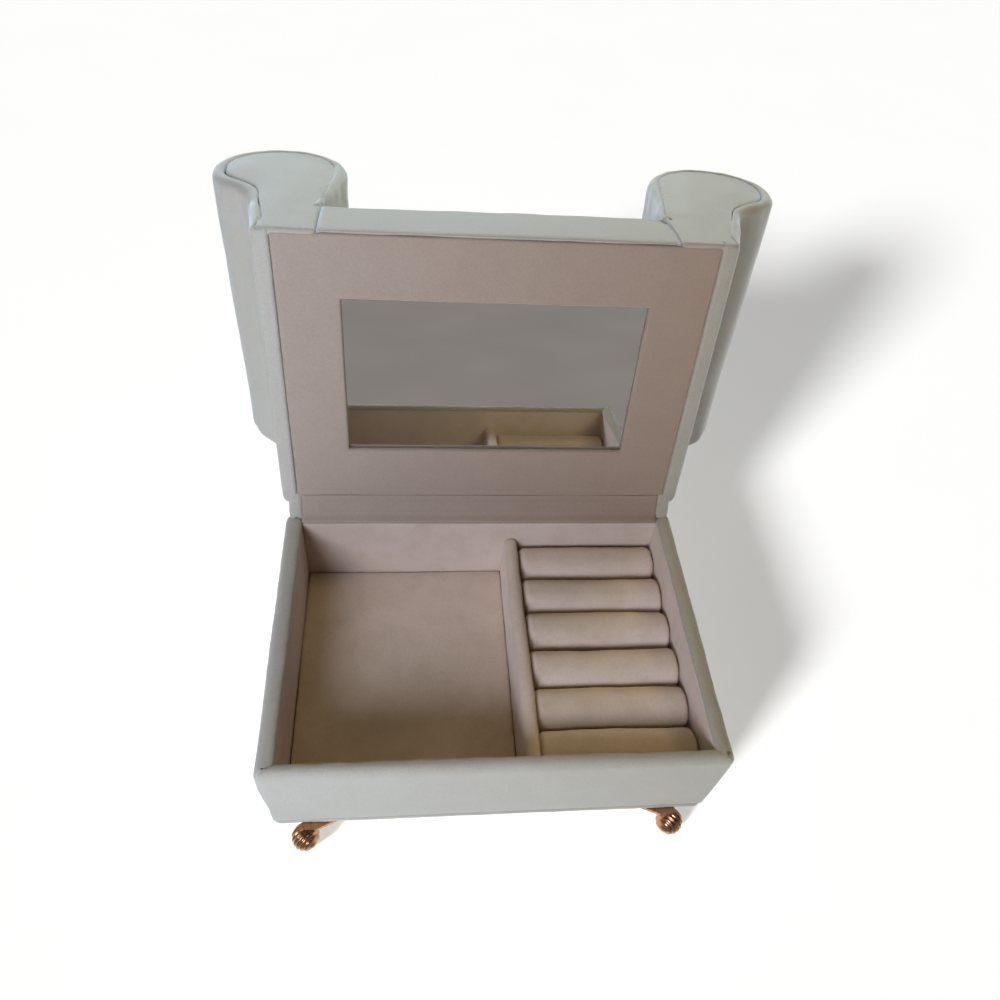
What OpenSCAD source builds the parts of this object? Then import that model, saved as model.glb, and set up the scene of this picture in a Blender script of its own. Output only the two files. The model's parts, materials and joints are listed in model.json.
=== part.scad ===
// Padded velvet jewellery box shaped like a small bench with rolled arms.
// Millimetres. X runs to the right, Y to the back and Z up, and the origin is the
// centre of the case's underside. Lid pieces are drawn closed, in heights above the
// lid's underside, and are then swung open about the hinge pins.

/* [Case] */
// Width of the case over its padded sides, at the rim
case_w = 160; // [150:1:190]
// Depth of the case from the front velvet to the back velvet
case_d = 110; // [104:1:130]
// Height of the case from its underside to the padded rim
case_h = 41; // [38:1:60]
// Thickness of the wall boards
wall_t = 2.5; // [2:0.1:3.5]
// Height of the wrapped base board under the walls
base_t = 3.2; // [2.8:0.1:4.2]
// Foam and velvet outside a side board, at the rim
side_pad = 2.9; // [2:0.1:4]
// Foam and velvet outside a side board, at the base
side_pad_low = 0.8; // [0.6:0.1:1.6]
// Velvet outside the front and back boards
end_pad = 1.2; // [0.8:0.1:2]
// Height of the padded rim above the boards
rim_crown = 1.4; // [1:0.1:2]
// Depth of the velvet lip that turns down inside the rim
lip_h = 2; // [1.5:0.1:4]
// Velvet that wraps the base board
wrap_t = 0.8; // [0.6:0.1:1.2]
// Radius of the case's upright corners
corner_r = 2.6; // [1.5:0.1:4]

/* [Trays] */
// Thickness of the lining panels inside the walls
lining_t = 1; // [0.8:0.1:1.5]
// Height of the compartment floor above the underside
floor_level = 7.3; // [5.5:0.1:9]
// Place of the divider, measured from the middle of the case
divider_x = 12.4; // [0:0.2:24]
// Thickness of the divider
divider_t = 5.5; // [3:0.1:7]
// Drop from the rim to the top of the divider
divider_drop = 11; // [8:0.5:16]
// Height of the ring pads' tops above the underside
ring_top = 28; // [24:0.5:30]
// Gap between neighbouring ring pads
ring_gap = 0.7; // [0.5:0.1:1.5]
// Thickness of the card under the ring pads
ring_card_t = 2; // [1.5:0.1:3]

/* [Lid] */
// How far the lid stands past the front of the case
lid_overhang = 1.5; // [0.5:0.1:3]
// Gap between the rim and the closed lid
lid_gap = 0.4; // [0.35:0.05:0.8]
// Angle from closed to the open stop
open_angle = 99.6; // [95:0.1:104]
// Height of the lid's frame above its underside
frame_h = 18; // [15:0.5:20]
// Thickness of the lid's rails
rail_t = 4; // [3:0.1:5]
// Thickness of the board on top of the rails
deck_t = 2; // [1.5:0.1:3]
// Height of the seat's front edge above the lid's underside
seat_h = 26; // [25:0.5:30]
// Rise of the seat from its edge to its middle
seat_crown = 2.5; // [1:0.1:4]
// Foam and velvet in front of the front rail
front_pad = 3; // [2:0.1:4]
// Velvet behind the back rail
back_pad = 1; // [0.8:0.1:1.5]
// Foam outside a side rail
lid_side_pad = 3; // [2:0.1:4]
// Velvet border in front of the lid lining
border_front = 1.2; // [0.8:0.1:1.8]
// Velvet border beside the lid lining
border_w = 5.25; // [4.5:0.05:7]
// Velvet border behind the lid lining
border_back = 3.5; // [3:0.1:5]
// Thickness of the lid's lining board
lid_lining_t = 2.2; // [1.8:0.1:3]

/* [Mirror] */
// Width of the window in the lining board
window_w = 106.8; // [80:0.2:110]
// Depth of the window in the lining board
window_d = 61.9; // [45:0.1:66]
// Thickness of the mirror glass
mirror_t = 1.8; // [1.5:0.1:2.5]
// How far the mirror runs behind the lining board
mirror_lap = 4; // [2.5:0.1:6]
// Card frame outside the mirror
mirror_frame_w = 5; // [3:0.1:7]
// Card behind the mirror
mirror_back_t = 1.5; // [1:0.1:2]

/* [Arms] */
// Radius of an arm's padded roll
roll_r = 24; // [21:0.5:26]
// How far a roll's axis lies outside the case
roll_out = 8; // [5:0.5:11]
// Height of a roll's axis above the lid's underside
roll_h = 60; // [54:0.5:68]
// Width of an arm where it meets the seat
arm_w = 20; // [18:0.5:23]
// How far an arm's foot stands past the side of the case
arm_past = 0.5; // [0:0.1:1]
// Outward lean of an arm's outer side, in degrees
neck_lean = 19.6; // [16:0.2:22]
// Radius of the hollow under a roll
neck_r = 12; // [8:0.5:14]
// Foam and velvet of an arm's cover
arm_skin = 2; // [1.5:0.1:2.5]
// Thickness of the bent card inside an arm
core_t = 1.5; // [1:0.1:2]
// Rounding of an arm's front and back edges
arm_round = 4; // [3:0.1:5]
// Swell of an arm's front panel
panel_crown = 1.2; // [0.6:0.1:2]

/* [Hinges] */
// Place of each hinge, measured from the middle
hinge_x = 45; // [36:0.5:48]
// Length of a hinge along its pin
hinge_w = 20; // [16:0.5:24]
// Height of each hinge leaf
leaf_h = 13; // [11:0.5:15]
// Thickness of a hinge leaf
leaf_t = 0.8; // [0.6:0.05:1]
// Radius of the hinge pin
pin_r = 0.8; // [0.6:0.05:1]
// Radius of a hinge knuckle
knuckle_r = 1.9; // [1.7:0.05:2]
// Radial clearance of the pin in the lid's knuckle
pin_clear = 0.05; // [0.03:0.01:0.08]
// Place of the pin's axis behind the case
hinge_back = 2.5; // [2.4:0.1:3]
// Height of the pin's axis above the closed lid's underside
hinge_up = 2.2; // [2:0.1:2.6]
// Width of the tab that stops the lid
stop_w = 5; // [3:0.1:6]

/* [Feet] */
// Height of the feet
foot_h = 12; // [10:0.5:16]
// Radius of a foot's bulb
bulb_r = 4.4; // [3.8:0.1:5]
// Distance of a bulb's axis inside the side of the case
foot_in = 12.7; // [10:0.1:18]
// Distance of a bulb's axis past the front or back of the case
foot_out = 2; // [0:0.1:4]
// Length of each arm of a foot's plate
plate_l = 15; // [13:0.5:18]
// Width of each arm of a foot's plate
plate_w = 6.5; // [5.5:0.1:8]
// Thickness of a foot's plate
plate_t = 1.6; // [1.2:0.1:2]
// Length of the ear that tapers from a foot's bulb back to its plate
ear_l = 11.3; // [9:0.1:12]
// Radius of the screws in the feet and hinges
screw_r = 0.8; // [0.6:0.05:0.9]

/* [Hidden] */
$fn = 48;

velvet = "#bcc6c0";
blush = "#cdb5ac";
greyboard = "#a89f90";
rose_gold = "#c98f72";
paper_grey = "#d9d6d0";

fit_gap = 0.2;           // between glued pieces that would otherwise share a curved face
cut = 0.01;              // how far a cutting shape runs past the face that it opens
cutter = 400;            // larger than the whole box

// Case
case_hw = case_w / 2;
case_hd = case_d / 2;
board_hw = case_hw - side_pad;
board_hd = case_hd - end_pad;
inner_hw = board_hw - wall_t - lining_t;
inner_hd = board_hd - wall_t - lining_t;
base_hw = board_hw + side_pad_low;
board_top = case_h - rim_crown;
lining_top = case_h - lip_h;
belly_drop = 9;          // the side velvet is fullest from here up to the rim's turn
rim_turn = 3.2;          // height over which the outer velvet turns in at the rim
paper_t = 0.4;

// Trays
divider_top = case_h - divider_drop;
ring_count = 6;
ring_pad_side = 0.7;     // between a ring pad's end and what stands beside it
ring_pitch = 2 * inner_hd / ring_count;
ring_x0 = divider_x + divider_t / 2 + ring_pad_side;
ring_x1 = inner_hw - ring_pad_side;

// Lid
lid_z = case_h + lid_gap;
lid_front = -case_hd - lid_overhang;
lid_back = case_hd;
frame_hw = case_hw - lid_side_pad;
frame_front = lid_front + front_pad;
frame_back = lid_back - back_pad;
deck_top = frame_h + deck_t;
lid_lining_hw = case_hw - border_w;
lid_lining_front = lid_front + border_front;
lid_lining_back = lid_back - border_back;
seat_round = 5;          // rounding of the seat's upper edge
seat_draw = 0.8;         // how far the seat's long edges are drawn in at mid-length
seat_flat = 40;          // from the seat's edge to where its crown is level
window_y = (lid_lining_front + lid_lining_back) / 2;
mirror_hw = window_w / 2 + mirror_lap;
mirror_hd = window_d / 2 + mirror_lap;

// Arms
arm_in = case_hw - arm_w;
arm_out = case_hw + arm_past;
roll_x = case_hw + roll_out;
seat_hw = arm_in - fit_gap;
panel_back_t = 1;        // end panel at the hinge side, flush with the velvet
panel_edge = arm_round + 2 * fit_gap;

// Hinges
axis_y = case_hd + hinge_back;
axis_z = lid_z + hinge_up;
leaf_y = case_hd;
leaf_reach = knuckle_r + 0.6;   // a leaf is cut back to here, clear of the other's knuckles
knuckle_gap = 0.2;
knuckle_w = (hinge_w - 2 * knuckle_gap) / 3;
stop_clear = 0.06;       // the open lid leaf stands this far off the tab
screw_clear = 0.05;      // around a screw's shank
head_r = 2 * screw_r;
head_t = 0.8;
leaf_screw_in = 4;       // from a leaf's end to its screws
case_screw_z = axis_z - leaf_h + 4.5;
lid_screw_z = axis_z + leaf_h - 4.5;
case_screw_l = 4;
lid_screw_l = 4.5;
strip_t = 0.8;           // the lining strip over the hinge

// Feet
foot_x = case_hw - foot_in;
foot_y = case_hd + foot_out;
plate_x = foot_x - 1;    // outer edges of a foot's plate
plate_y = case_hd - 1.2;
plate_screw_in = 3.5;    // from the end of a plate's arm to its screw
screw_end = 0.4;         // a foot's screws end this far below the base board's top
leg_r = 3;               // radius of a leg at mid-length
leg_taper = 0.6;
base_border = case_hd - plate_y + plate_l + 0.3;   // the base's paper stops short of the plates
pad_cut = 0.25;          // how much of a bulb is cut away for the flat that it stands on
flute_count = 12;        // grooves round a bulb
flute_r = 0.5;

// ---- shapes that several pieces share ----

// Points of a circular arc, from step number first
function arc(c, r, a0, a1, n, first = 0) =
    [for (i = [first:n]) c + r * [cos(a0 + (a1 - a0) * i / n), sin(a0 + (a1 - a0) * i / n)]];

// A level rectangle with round corners, as points at height z
function round_rect(hx, hy, r, z, n = 4) =
    [for (q = [0:3], p = arc(
        [(q == 0 || q == 3 ? 1 : -1) * (hx - r), (q < 2 ? 1 : -1) * (hy - r)],
        r, 90 * q, 90 * q + 90, n)) [p.x, p.y, z]];

// Two triangles for each cell between ring a and ring b, of n points each
function band(a, b, n) =
    [for (i = [0:n - 1]) let (j = (i + 1) % n) each [[a + i, b + i, b + j], [a + i, b + j, a + j]]];

// A solid skin over a stack of rings, closed with a flat cap at each end
module loft(rings) {
    n = len(rings[0]);
    last = len(rings) - 1;
    polyhedron(
        points = [for (ring = rings) each ring],
        faces = concat(
            [[for (i = [0:n - 1]) i]],
            [for (k = [0:last - 1]) each band(k * n, (k + 1) * n, n)],
            [[for (i = [n - 1:-1:0]) last * n + i]]),
        convexity = 6);
}

// A closed skin over rings that come back to the first one, like a picture frame
module frame_loft(rings) {
    n = len(rings[0]);
    count = len(rings);
    polyhedron(
        points = [for (ring = rings) each ring],
        faces = [for (k = [0:count - 1]) each band(k * n, ((k + 1) % count) * n, n)],
        convexity = 6);
}

// A block between two corners
module block(low, high) {
    translate(low) cube(high - low);
}

// Swings a closed lid piece to the open stop, with heights counted from the lid's underside
module on_lid() {
    translate([0, axis_y, axis_z]) rotate([-open_angle, 0, 0])
        translate([0, -axis_y, lid_z - axis_z]) children();
}

// Where a point of the closed lid comes to when the lid is open, as [y, z]
function opened(y, height) =
    let (u = y - axis_y, v = height + lid_z - axis_z)
    [axis_y + u * cos(open_angle) + v * sin(open_angle),
     axis_z - u * sin(open_angle) + v * cos(open_angle)];

// The same piece on the right (side = 1) or on the left (side = -1)
module on_side(side) {
    if (side > 0) children();
    else mirror([1, 0, 0]) children();
}

// Draws an outline of [across, height] points along Y, from y0 to y1
module along_y(y0, y1) {
    translate([0, y1, 0]) rotate([90, 0, 0]) linear_extrude(y1 - y0) children();
}

// Draws an outline of [y, z] points along X, from x0 to x1
module along_x(x0, x1) {
    translate([x0, 0, 0]) rotate([90, 0, 90]) linear_extrude(x1 - x0) children();
}

// ---- case ----

module base_outline() {
    for (sx = [-1, 1], sy = [-1, 1])
        translate([sx * (base_hw - corner_r), sy * (case_hd - corner_r)]) circle(corner_r);
    square([2 * base_hw, case_d - 2 * corner_r], center = true);
    square([2 * (base_hw - corner_r), case_d], center = true);
}

// Two screws hold each foot to the base
function foot_screw_spots() = let (
    near = [plate_x - plate_l + plate_screw_in, plate_y - plate_w / 2],
    far = [plate_x - plate_w / 2, plate_y - plate_l + plate_screw_in])
    [for (sx = [-1, 1], sy = [-1, 1], p = [near, far]) [sx * p.x, sy * p.y]];

module foot_screw_holes() {
    for (p = foot_screw_spots())
        translate([p.x, p.y, -base_t]) cylinder(h = 3 * base_t, r = screw_r + screw_clear, $fn = 24);
}

module base_board() {
    color(greyboard) difference() {
        block([wrap_t - base_hw, wrap_t - case_hd, paper_t],
              [base_hw - wrap_t, case_hd - wrap_t, base_t]);
        foot_screw_holes();
    }
}

module base_cover() {
    color(velvet) difference() {
        linear_extrude(base_t) base_outline();
        block([wrap_t - base_hw, wrap_t - case_hd, paper_t],
              [base_hw - wrap_t, case_hd - wrap_t, base_t + cut]);
        block([base_border - base_hw, base_border - case_hd, -cut],
              [base_hw - base_border, case_hd - base_border, paper_t + cut]);
        foot_screw_holes();
    }
}

module base_paper() {
    color(paper_grey) difference() {
        block([base_border - base_hw, base_border - case_hd, 0],
              [base_hw - base_border, case_hd - base_border, paper_t]);
        foot_screw_holes();
    }
}

module wall_end(y0) {
    color(greyboard)
        block([-board_hw, y0, base_t], [board_hw, y0 + wall_t, board_top]);
}

module wall_front() {
    wall_end(-board_hd);
}

module wall_back() {
    difference() {
        wall_end(board_hd - wall_t);
        hinge_screw_holes(case_screw_z);
    }
}

module wall_side(x0) {
    color(greyboard)
        block([x0, wall_t - board_hd, base_t], [x0 + wall_t, board_hd - wall_t, board_top]);
}

// Rings of the case's velvet: up the outside, over the rim and down the lip
function case_ring(px, py, z) =
    round_rect(board_hw + px, board_hd + py, max(0.3, corner_r - side_pad + max(px, py) + 0.8), z);

function case_rings() = let (crown = case_h - 0.2, lip = -wall_t - lining_t)
    [
        case_ring(0, 0, base_t),
        case_ring(side_pad_low, end_pad, base_t),
        case_ring(side_pad_low * 0.6 + side_pad * 0.4, end_pad, base_t + 0.35 * (case_h - base_t)),
        case_ring(side_pad, end_pad, case_h - belly_drop),
        case_ring(side_pad, end_pad, case_h - rim_turn),
        case_ring(side_pad - 0.5, end_pad - 0.3, case_h - 0.4 * rim_turn),
        case_ring(side_pad - 1.8, end_pad - 0.9, crown),
        case_ring(-wall_t / 2, -wall_t / 2, case_h),
        case_ring(lip + 0.7, lip + 0.7, crown),
        case_ring(lip, lip, case_h - 1),
        case_ring(lip, lip, lining_top),
        case_ring(-wall_t, -wall_t, lining_top),
        case_ring(-wall_t, -wall_t, board_top),
        case_ring(0, 0, board_top)
    ];

module case_cover() {
    color(velvet) difference() {
        frame_loft(case_rings());
        // the hinge strip crosses the back wall here, and nothing pads it
        block([-inner_hw - fit_gap, inner_hd - cut, lining_top - cut],
              [inner_hw + fit_gap, board_hd, case_h + cut]);
        block([-inner_hw - fit_gap, board_hd - cut, board_top + strip_t / 2],
              [inner_hw + fit_gap, case_hd + cut, case_h + cut]);
        hinge_screw_holes(case_screw_z);
    }
}

module lining_end(y0) {
    color(blush)
        block([-inner_hw, y0, base_t], [inner_hw, y0 + lining_t, lining_top]);
}

module lining_side(x0) {
    color(blush)
        block([x0, wall_t - board_hd, base_t], [x0 + lining_t, board_hd - wall_t, lining_top]);
}

module floor_pad() {
    color(blush)
        block([-inner_hw, -inner_hd, base_t], [divider_x - divider_t / 2, inner_hd, floor_level]);
}

module divider() {
    r = divider_t / 2;
    color(blush) translate([divider_x, 0, 0]) along_y(-inner_hd, inner_hd) {
        translate([0, divider_top - r]) circle(r);
        translate([-r, base_t]) square([divider_t, divider_top - r - base_t]);
    }
}

// ---- ring pads ----

module ring_card() {
    color(greyboard)
        block([divider_x + divider_t / 2, -inner_hd, base_t],
              [inner_hw, inner_hd, base_t + ring_card_t]);
}

// Pad 1 stands at the back and the last one at the front
module ring_pad(i) {
    r = (ring_pitch - ring_gap) / 2;
    foot_z = base_t + ring_card_t;
    color(blush) translate([0, inner_hd - (i - 0.5) * ring_pitch, 0]) along_x(ring_x0, ring_x1) {
        translate([0, ring_top - r]) circle(r);
        translate([-r, foot_z]) square([2 * r, ring_top - r - foot_z]);
    }
}

// ---- feet ----

// A foot's plate from above: an L, and a nose that runs out to the bulb with an ear beside it
module plate_outline() {
    translate([plate_x - plate_l, -plate_y]) square([plate_l, plate_w]);
    translate([plate_x - plate_w, -plate_y]) square([plate_w, plate_l]);
    polygon([
        [plate_x - ear_l, -plate_y],
        [foot_x - 0.9 * bulb_r, -foot_y - 0.4],
        [foot_x + 0.4 * bulb_r, -foot_y],
        [plate_x, plate_w / 2 - plate_y],
        [plate_x - ear_l, plate_w / 2 - plate_y]
    ]);
}

// The foot at the front right corner: a plate, a leg and a fluted bulb
module foot() {
    top = [plate_x - plate_w / 2, plate_w / 2 - plate_y, 0];
    bulb = [foot_x, -foot_y, bulb_r - pad_cut - foot_h];
    run = bulb - top;
    lean = acos(-run.z / norm(run));
    turn = atan2(run.y, run.x);
    color(rose_gold) {
        difference() {
            translate([0, 0, -plate_t]) linear_extrude(plate_t) plate_outline();
            foot_screw_holes();
        }
        intersection() {
            translate(top) rotate([0, 180 - lean, turn]) translate([0, 0, -2])
                cylinder(h = norm(run) + 2, r1 = leg_r + leg_taper, r2 = leg_r - leg_taper);
            block([0, -cutter, -cutter], [cutter, 0, -plate_t / 2]);
        }
        difference() {
            translate(bulb) sphere(bulb_r);
            // flutes run outwards, along the corner's diagonal
            translate(bulb) rotate([0, 90, -45]) for (i = [0:flute_count - 1])
                rotate(360 * (i + 0.5) / flute_count) translate([bulb_r + 0.2, 0, -bulb_r])
                    cylinder(h = 2 * bulb_r, r = flute_r, $fn = 16);
            // flat pad to stand on
            block([0, -cutter, -cutter], [cutter, 0, -foot_h]);
        }
    }
}

module foot_screws() {
    color(rose_gold) for (p = foot_screw_spots()) translate([p.x, p.y, 0]) {
        translate([0, 0, -plate_t - head_t]) cylinder(h = head_t, r = head_r);
        translate([0, 0, -plate_t - cut]) cylinder(h = plate_t + base_t - screw_end, r = screw_r, $fn = 24);
    }
}

// ---- hinges ----

// Each leaf has two screws
function hinge_screw_spots() =
    [for (side = [-1, 1], end = [-1, 1]) side * hinge_x + end * (hinge_w / 2 - leaf_screw_in)];

module hinge_screw_holes(z) {
    reach = back_pad + rail_t + 1;   // right through the lid's back rail
    for (x = hinge_screw_spots())
        translate([x, leaf_y - reach, z]) rotate([-90, 0, 0])
            cylinder(h = 2 * reach, r = screw_r + screw_clear, $fn = 24);
}

module hinge_screws(z, grip) {
    color(rose_gold) for (x = hinge_screw_spots())
        translate([x, leaf_y + leaf_t, z]) rotate([-90, 0, 0]) {
            cylinder(h = head_t, r = head_r);
            translate([0, 0, -grip]) cylinder(h = grip + cut, r = screw_r, $fn = 24);
        }
}

// One knuckle from x0 to x1, on the pin's axis, joined to the leaf above or below it
module knuckle(x0, x1, bore_r, above) {
    difference() {
        union() {
            translate([x0, axis_y, axis_z]) rotate([0, 90, 0]) cylinder(h = x1 - x0, r = knuckle_r);
            block([x0, leaf_y, above ? axis_z : axis_z - leaf_reach - cut],
                  [x1, leaf_y + leaf_t, above ? axis_z + leaf_reach + cut : axis_z]);
        }
        translate([x0 - 1, axis_y, axis_z]) rotate([0, 90, 0]) cylinder(h = x1 - x0 + 2, r = bore_r);
    }
}

// The case's leaf has the two outer knuckles, and a bent tab that stops the lid.
// The tab's end is bevelled to meet the open lid leaf.
module hinge_case(x) {
    low = axis_z - leaf_reach;
    tab_y = axis_y + knuckle_r + 1.2;
    color(rose_gold) difference() {
        translate([x, 0, 0]) union() {
            block([-hinge_w / 2, leaf_y, axis_z - leaf_h], [hinge_w / 2, leaf_y + leaf_t, low]);
            for (x0 = [-hinge_w / 2, hinge_w / 2 - knuckle_w])
                knuckle(x0, x0 + knuckle_w, pin_r, false);
            block([-stop_w / 2, leaf_y, low - leaf_t], [stop_w / 2, tab_y + leaf_t, low]);
            block([-stop_w / 2, tab_y, low - cut], [stop_w / 2, tab_y + leaf_t, axis_z + knuckle_r]);
        }
        stop_bevel();
        hinge_screw_holes(case_screw_z);
    }
}

// Everything above the open lid leaf's outer face
module stop_bevel() {
    translate([0, axis_y, axis_z]) rotate([-open_angle, 0, 0])
        block([-cutter / 2, -cutter / 2, 0],
              [cutter / 2, leaf_y + leaf_t - axis_y + stop_clear, cutter / 2]);
}

// The lid's leaf has the middle knuckle
module hinge_lid(x) {
    color(rose_gold) difference() {
        translate([x, 0, 0]) union() {
            block([-hinge_w / 2, leaf_y, axis_z + leaf_reach],
                  [hinge_w / 2, leaf_y + leaf_t, axis_z + leaf_h]);
            knuckle(-knuckle_w / 2, knuckle_w / 2, pin_r + pin_clear, true);
        }
        hinge_screw_holes(lid_screw_z);
    }
}

module hinge_pin(x) {
    color(rose_gold) translate([x - hinge_w / 2, axis_y, axis_z]) rotate([0, 90, 0])
        cylinder(h = hinge_w, r = pin_r);
}

// Swings a piece drawn in the case's heights, with the lid closed
module swung() {
    on_lid() translate([0, 0, -lid_z]) children();
}

// The lining strip lies on the back wall and climbs to the open lid
module hinge_strip() {
    mid_y = inner_hd + strip_t / 2 + 0.1;
    line = [
        [mid_y, lining_top + fit_gap],
        [mid_y, board_top],
        // over the top edge of the back wall
        [mid_y + 0.8, board_top + 1.0],
        [board_hd - 0.6, board_top + 1.3],
        // past the knuckles and up the underside of the open lid
        [board_hd + 0.1, board_top + 2.8],
        [board_hd + 0.4, axis_z + 0.1],
        opened(lid_back - 0.4, strip_t / 2),
        opened(lid_lining_back + fit_gap, strip_t / 2)
    ];
    n = len(line);
    // the way across the strip at each point
    across = [for (i = [0:n - 1]) let (
        along = line[min(i + 1, n - 1)] - line[max(i - 1, 0)]) [-along.y, along.x] / norm(along)];
    color(blush) along_x(-inner_hw, inner_hw) polygon(concat(
        [for (i = [0:n - 1]) line[i] - across[i] * strip_t / 2],
        [for (i = [n - 1:-1:0]) line[i] + across[i] * strip_t / 2]));
}

// ---- lid ----

module lid_rail_end(y0) {
    block([-frame_hw, y0, lid_lining_t], [frame_hw, y0 + rail_t, frame_h]);
}

module lid_rail_front() {
    color(greyboard) on_lid() lid_rail_end(frame_front);
}

module lid_rail_back() {
    color(greyboard) difference() {
        on_lid() lid_rail_end(frame_back - rail_t);
        swung() hinge_screw_holes(lid_screw_z);
    }
}

module lid_rail_side(x0) {
    color(greyboard) on_lid()
        block([x0, frame_front + rail_t, lid_lining_t], [x0 + rail_t, frame_back - rail_t, frame_h]);
}

module lid_deck() {
    color(greyboard) on_lid()
        block([-frame_hw, frame_front, frame_h], [frame_hw, frame_back, deck_top]);
}

module lid_front_cover() {
    color(velvet) on_lid() difference() {
        block([-seat_hw, lid_front, 0], [seat_hw, frame_front, deck_top]);
        block([-cutter, lid_lining_front, -cut], [cutter, frame_front + cut, lid_lining_t]);
    }
}

module lid_back_cover() {
    color(velvet) difference() {
        on_lid() union() {
            block([-seat_hw, frame_back, strip_t], [seat_hw, lid_back, deck_top]);
            block([-seat_hw, lid_lining_back, strip_t], [seat_hw, frame_back + cut, lid_lining_t]);
        }
        swung() hinge_screw_holes(lid_screw_z);
    }
}

// One level ring of the seat, drawn in by inset and a little more at mid-length
function seat_ring(inset, z) =
    let (mid = (lid_front + lid_back) / 2, hy = (lid_back - lid_front) / 2, hx = seat_hw)
    [for (p = round_rect(hx - inset, hy - inset, max(0.5, 4 - inset), z, 5))
        [p.x, mid + p.y * (1 - seat_draw / hy * (1 - pow(p.x / hx, 2)) * min(1, inset)), z]];

module seat_cushion() {
    rise = seat_h - deck_top;
    rings = concat(
        [seat_ring(0, deck_top)],
        [for (t = [0:22.5:90]) seat_ring(
            seat_round * 0.6 * (1 - cos(t)), deck_top + rise * (0.25 + 0.75 * sin(t)))],
        [for (k = [1:5]) let (w = k / 5) seat_ring(
            seat_round * 0.6 + w * seat_flat, seat_h + seat_crown * (1 - pow(1 - w, 2)))]);
    color(velvet) on_lid() loft(rings);
}

module lid_lining() {
    color(blush) on_lid() difference() {
        block([-lid_lining_hw, lid_lining_front, 0],
              [lid_lining_hw, lid_lining_back, lid_lining_t]);
        block([-window_w / 2, window_y - window_d / 2, -cut],
              [window_w / 2, window_y + window_d / 2, lid_lining_t + cut]);
    }
}

module mirror_glass() {
    color("silver") on_lid() translate([0, window_y, 0])
        block([-mirror_hw, -mirror_hd, lid_lining_t],
              [mirror_hw, mirror_hd, lid_lining_t + mirror_t]);
}

module mirror_card() {
    pocket = fit_gap / 2;
    color(greyboard) on_lid() translate([0, window_y, lid_lining_t]) difference() {
        block([-mirror_hw - mirror_frame_w, -mirror_hd - mirror_frame_w, 0],
              [mirror_hw + mirror_frame_w, mirror_hd + mirror_frame_w, mirror_t + mirror_back_t]);
        block([-mirror_hw - pocket, -mirror_hd - pocket, -cut],
              [mirror_hw + pocket, mirror_hd + pocket, mirror_t]);
    }
}

// ---- arms ----

// An arm's outline seen from the front, drawn in by e: [across, height] points.
// The outer side leans out, a hollow of neck_r leads into the roll, and the inner side
// runs from the roll down to the seat.
function arm_points(e, foot = 0) = let (
    r = roll_r - e,
    c = [roll_x, roll_h],
    seat = [arm_in + min(e, 1), seat_h],
    to_roll = c - seat,
    tangent = atan2(to_roll.y, to_roll.x) + asin(r / norm(to_roll)),
    base = [arm_out - e, foot],
    u = [sin(neck_lean), cos(neck_lean)],
    v = [cos(neck_lean), -sin(neck_lean)],
    f = neck_r + e,
    out = (c - base) * v,
    run = (c - base) * u - sqrt(pow(r + f, 2) - pow(out - f, 2)),
    hollow = base + run * u + f * v,
    meet = atan2(c.y - hollow.y, c.x - hollow.x))
    concat(
        [[arm_in + min(e, 1), foot], base],
        arc(hollow, f, 180 - neck_lean, meet, 6),
        arc(c, r, meet - 180, tangent + 90, 20, 1),
        [seat]);

function arm_ring(e, y, foot = 0) = [for (p = arm_points(e, foot)) [p.x, y, p.y]];

// The cover's rings, with both end edges rounded
function arm_rings() = let (turns = [0, 25, 55, 90]) concat(
    [for (t = turns) arm_ring(arm_round * (1 - sin(t)), lid_front + arm_round * (1 - cos(t)))],
    [for (k = [3:-1:0]) let (t = turns[k])
        arm_ring(arm_round * (1 - sin(t)), lid_back - arm_round * (1 - cos(t)))]);

// Room that the lid's own boards and lining take under and beside an arm
module lid_room(gap) {
    block([0, frame_front - gap, lid_lining_t], [frame_hw + gap, frame_back + gap, deck_top + gap]);
    block([0, lid_lining_front - gap, -1],
          [lid_lining_hw + gap, lid_lining_back + gap, lid_lining_t + gap]);
    block([0, lid_lining_back, -1], [inner_hw + gap, lid_back + 1, strip_t + gap]);
}

module arm_cover(side) {
    color(velvet) on_lid() on_side(side) difference() {
        loft(arm_rings());
        along_y(frame_front, lid_back - panel_back_t) intersection() {
            polygon(arm_points(arm_skin));
            translate([0, deck_top]) square(cutter);
        }
        // the end panels sit inside the rounded edges
        along_y(lid_front - 1, frame_front + cut) polygon(arm_points(arm_round + fit_gap, -1));
        along_y(lid_back - panel_back_t - cut, lid_back + 1)
            polygon(arm_points(arm_round + fit_gap, -1));
        lid_room(fit_gap);
    }
}

module arm_core(side) {
    color(greyboard) on_lid() on_side(side)
        along_y(frame_front + fit_gap, lid_back - panel_back_t - fit_gap) intersection() {
            difference() {
                polygon(arm_points(arm_skin + fit_gap));
                polygon(arm_points(arm_skin + fit_gap + core_t));
            }
            translate([0, deck_top + fit_gap]) square(cutter);
        }
}

// The front panel swells a little, and its velvet is drawn in round the edge.
// Each ring: how far it is drawn in, how far it stands out, and the height of its foot.
module arm_front(side) {
    rings = [
        arm_ring(panel_edge + 7, lid_front - panel_crown, 3),
        arm_ring(panel_edge + 4, lid_front - panel_crown * 0.75, 1.6),
        arm_ring(panel_edge + 1.2, lid_front - panel_crown * 0.1, 0.5),
        arm_ring(panel_edge, lid_front + 0.8, 0.2),
        arm_ring(panel_edge, frame_front, 0.2)
    ];
    color(velvet) on_lid() on_side(side) difference() {
        loft(rings);
        block([0, lid_lining_front - fit_gap, -1],
              [lid_lining_hw + fit_gap, 0, lid_lining_t + fit_gap]);
    }
}

module arm_back(side) {
    color(velvet) on_lid() on_side(side) difference() {
        along_y(lid_back - panel_back_t + fit_gap / 2, lid_back) polygon(arm_points(panel_edge, 0));
        lid_room(fit_gap);
    }
}

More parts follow.
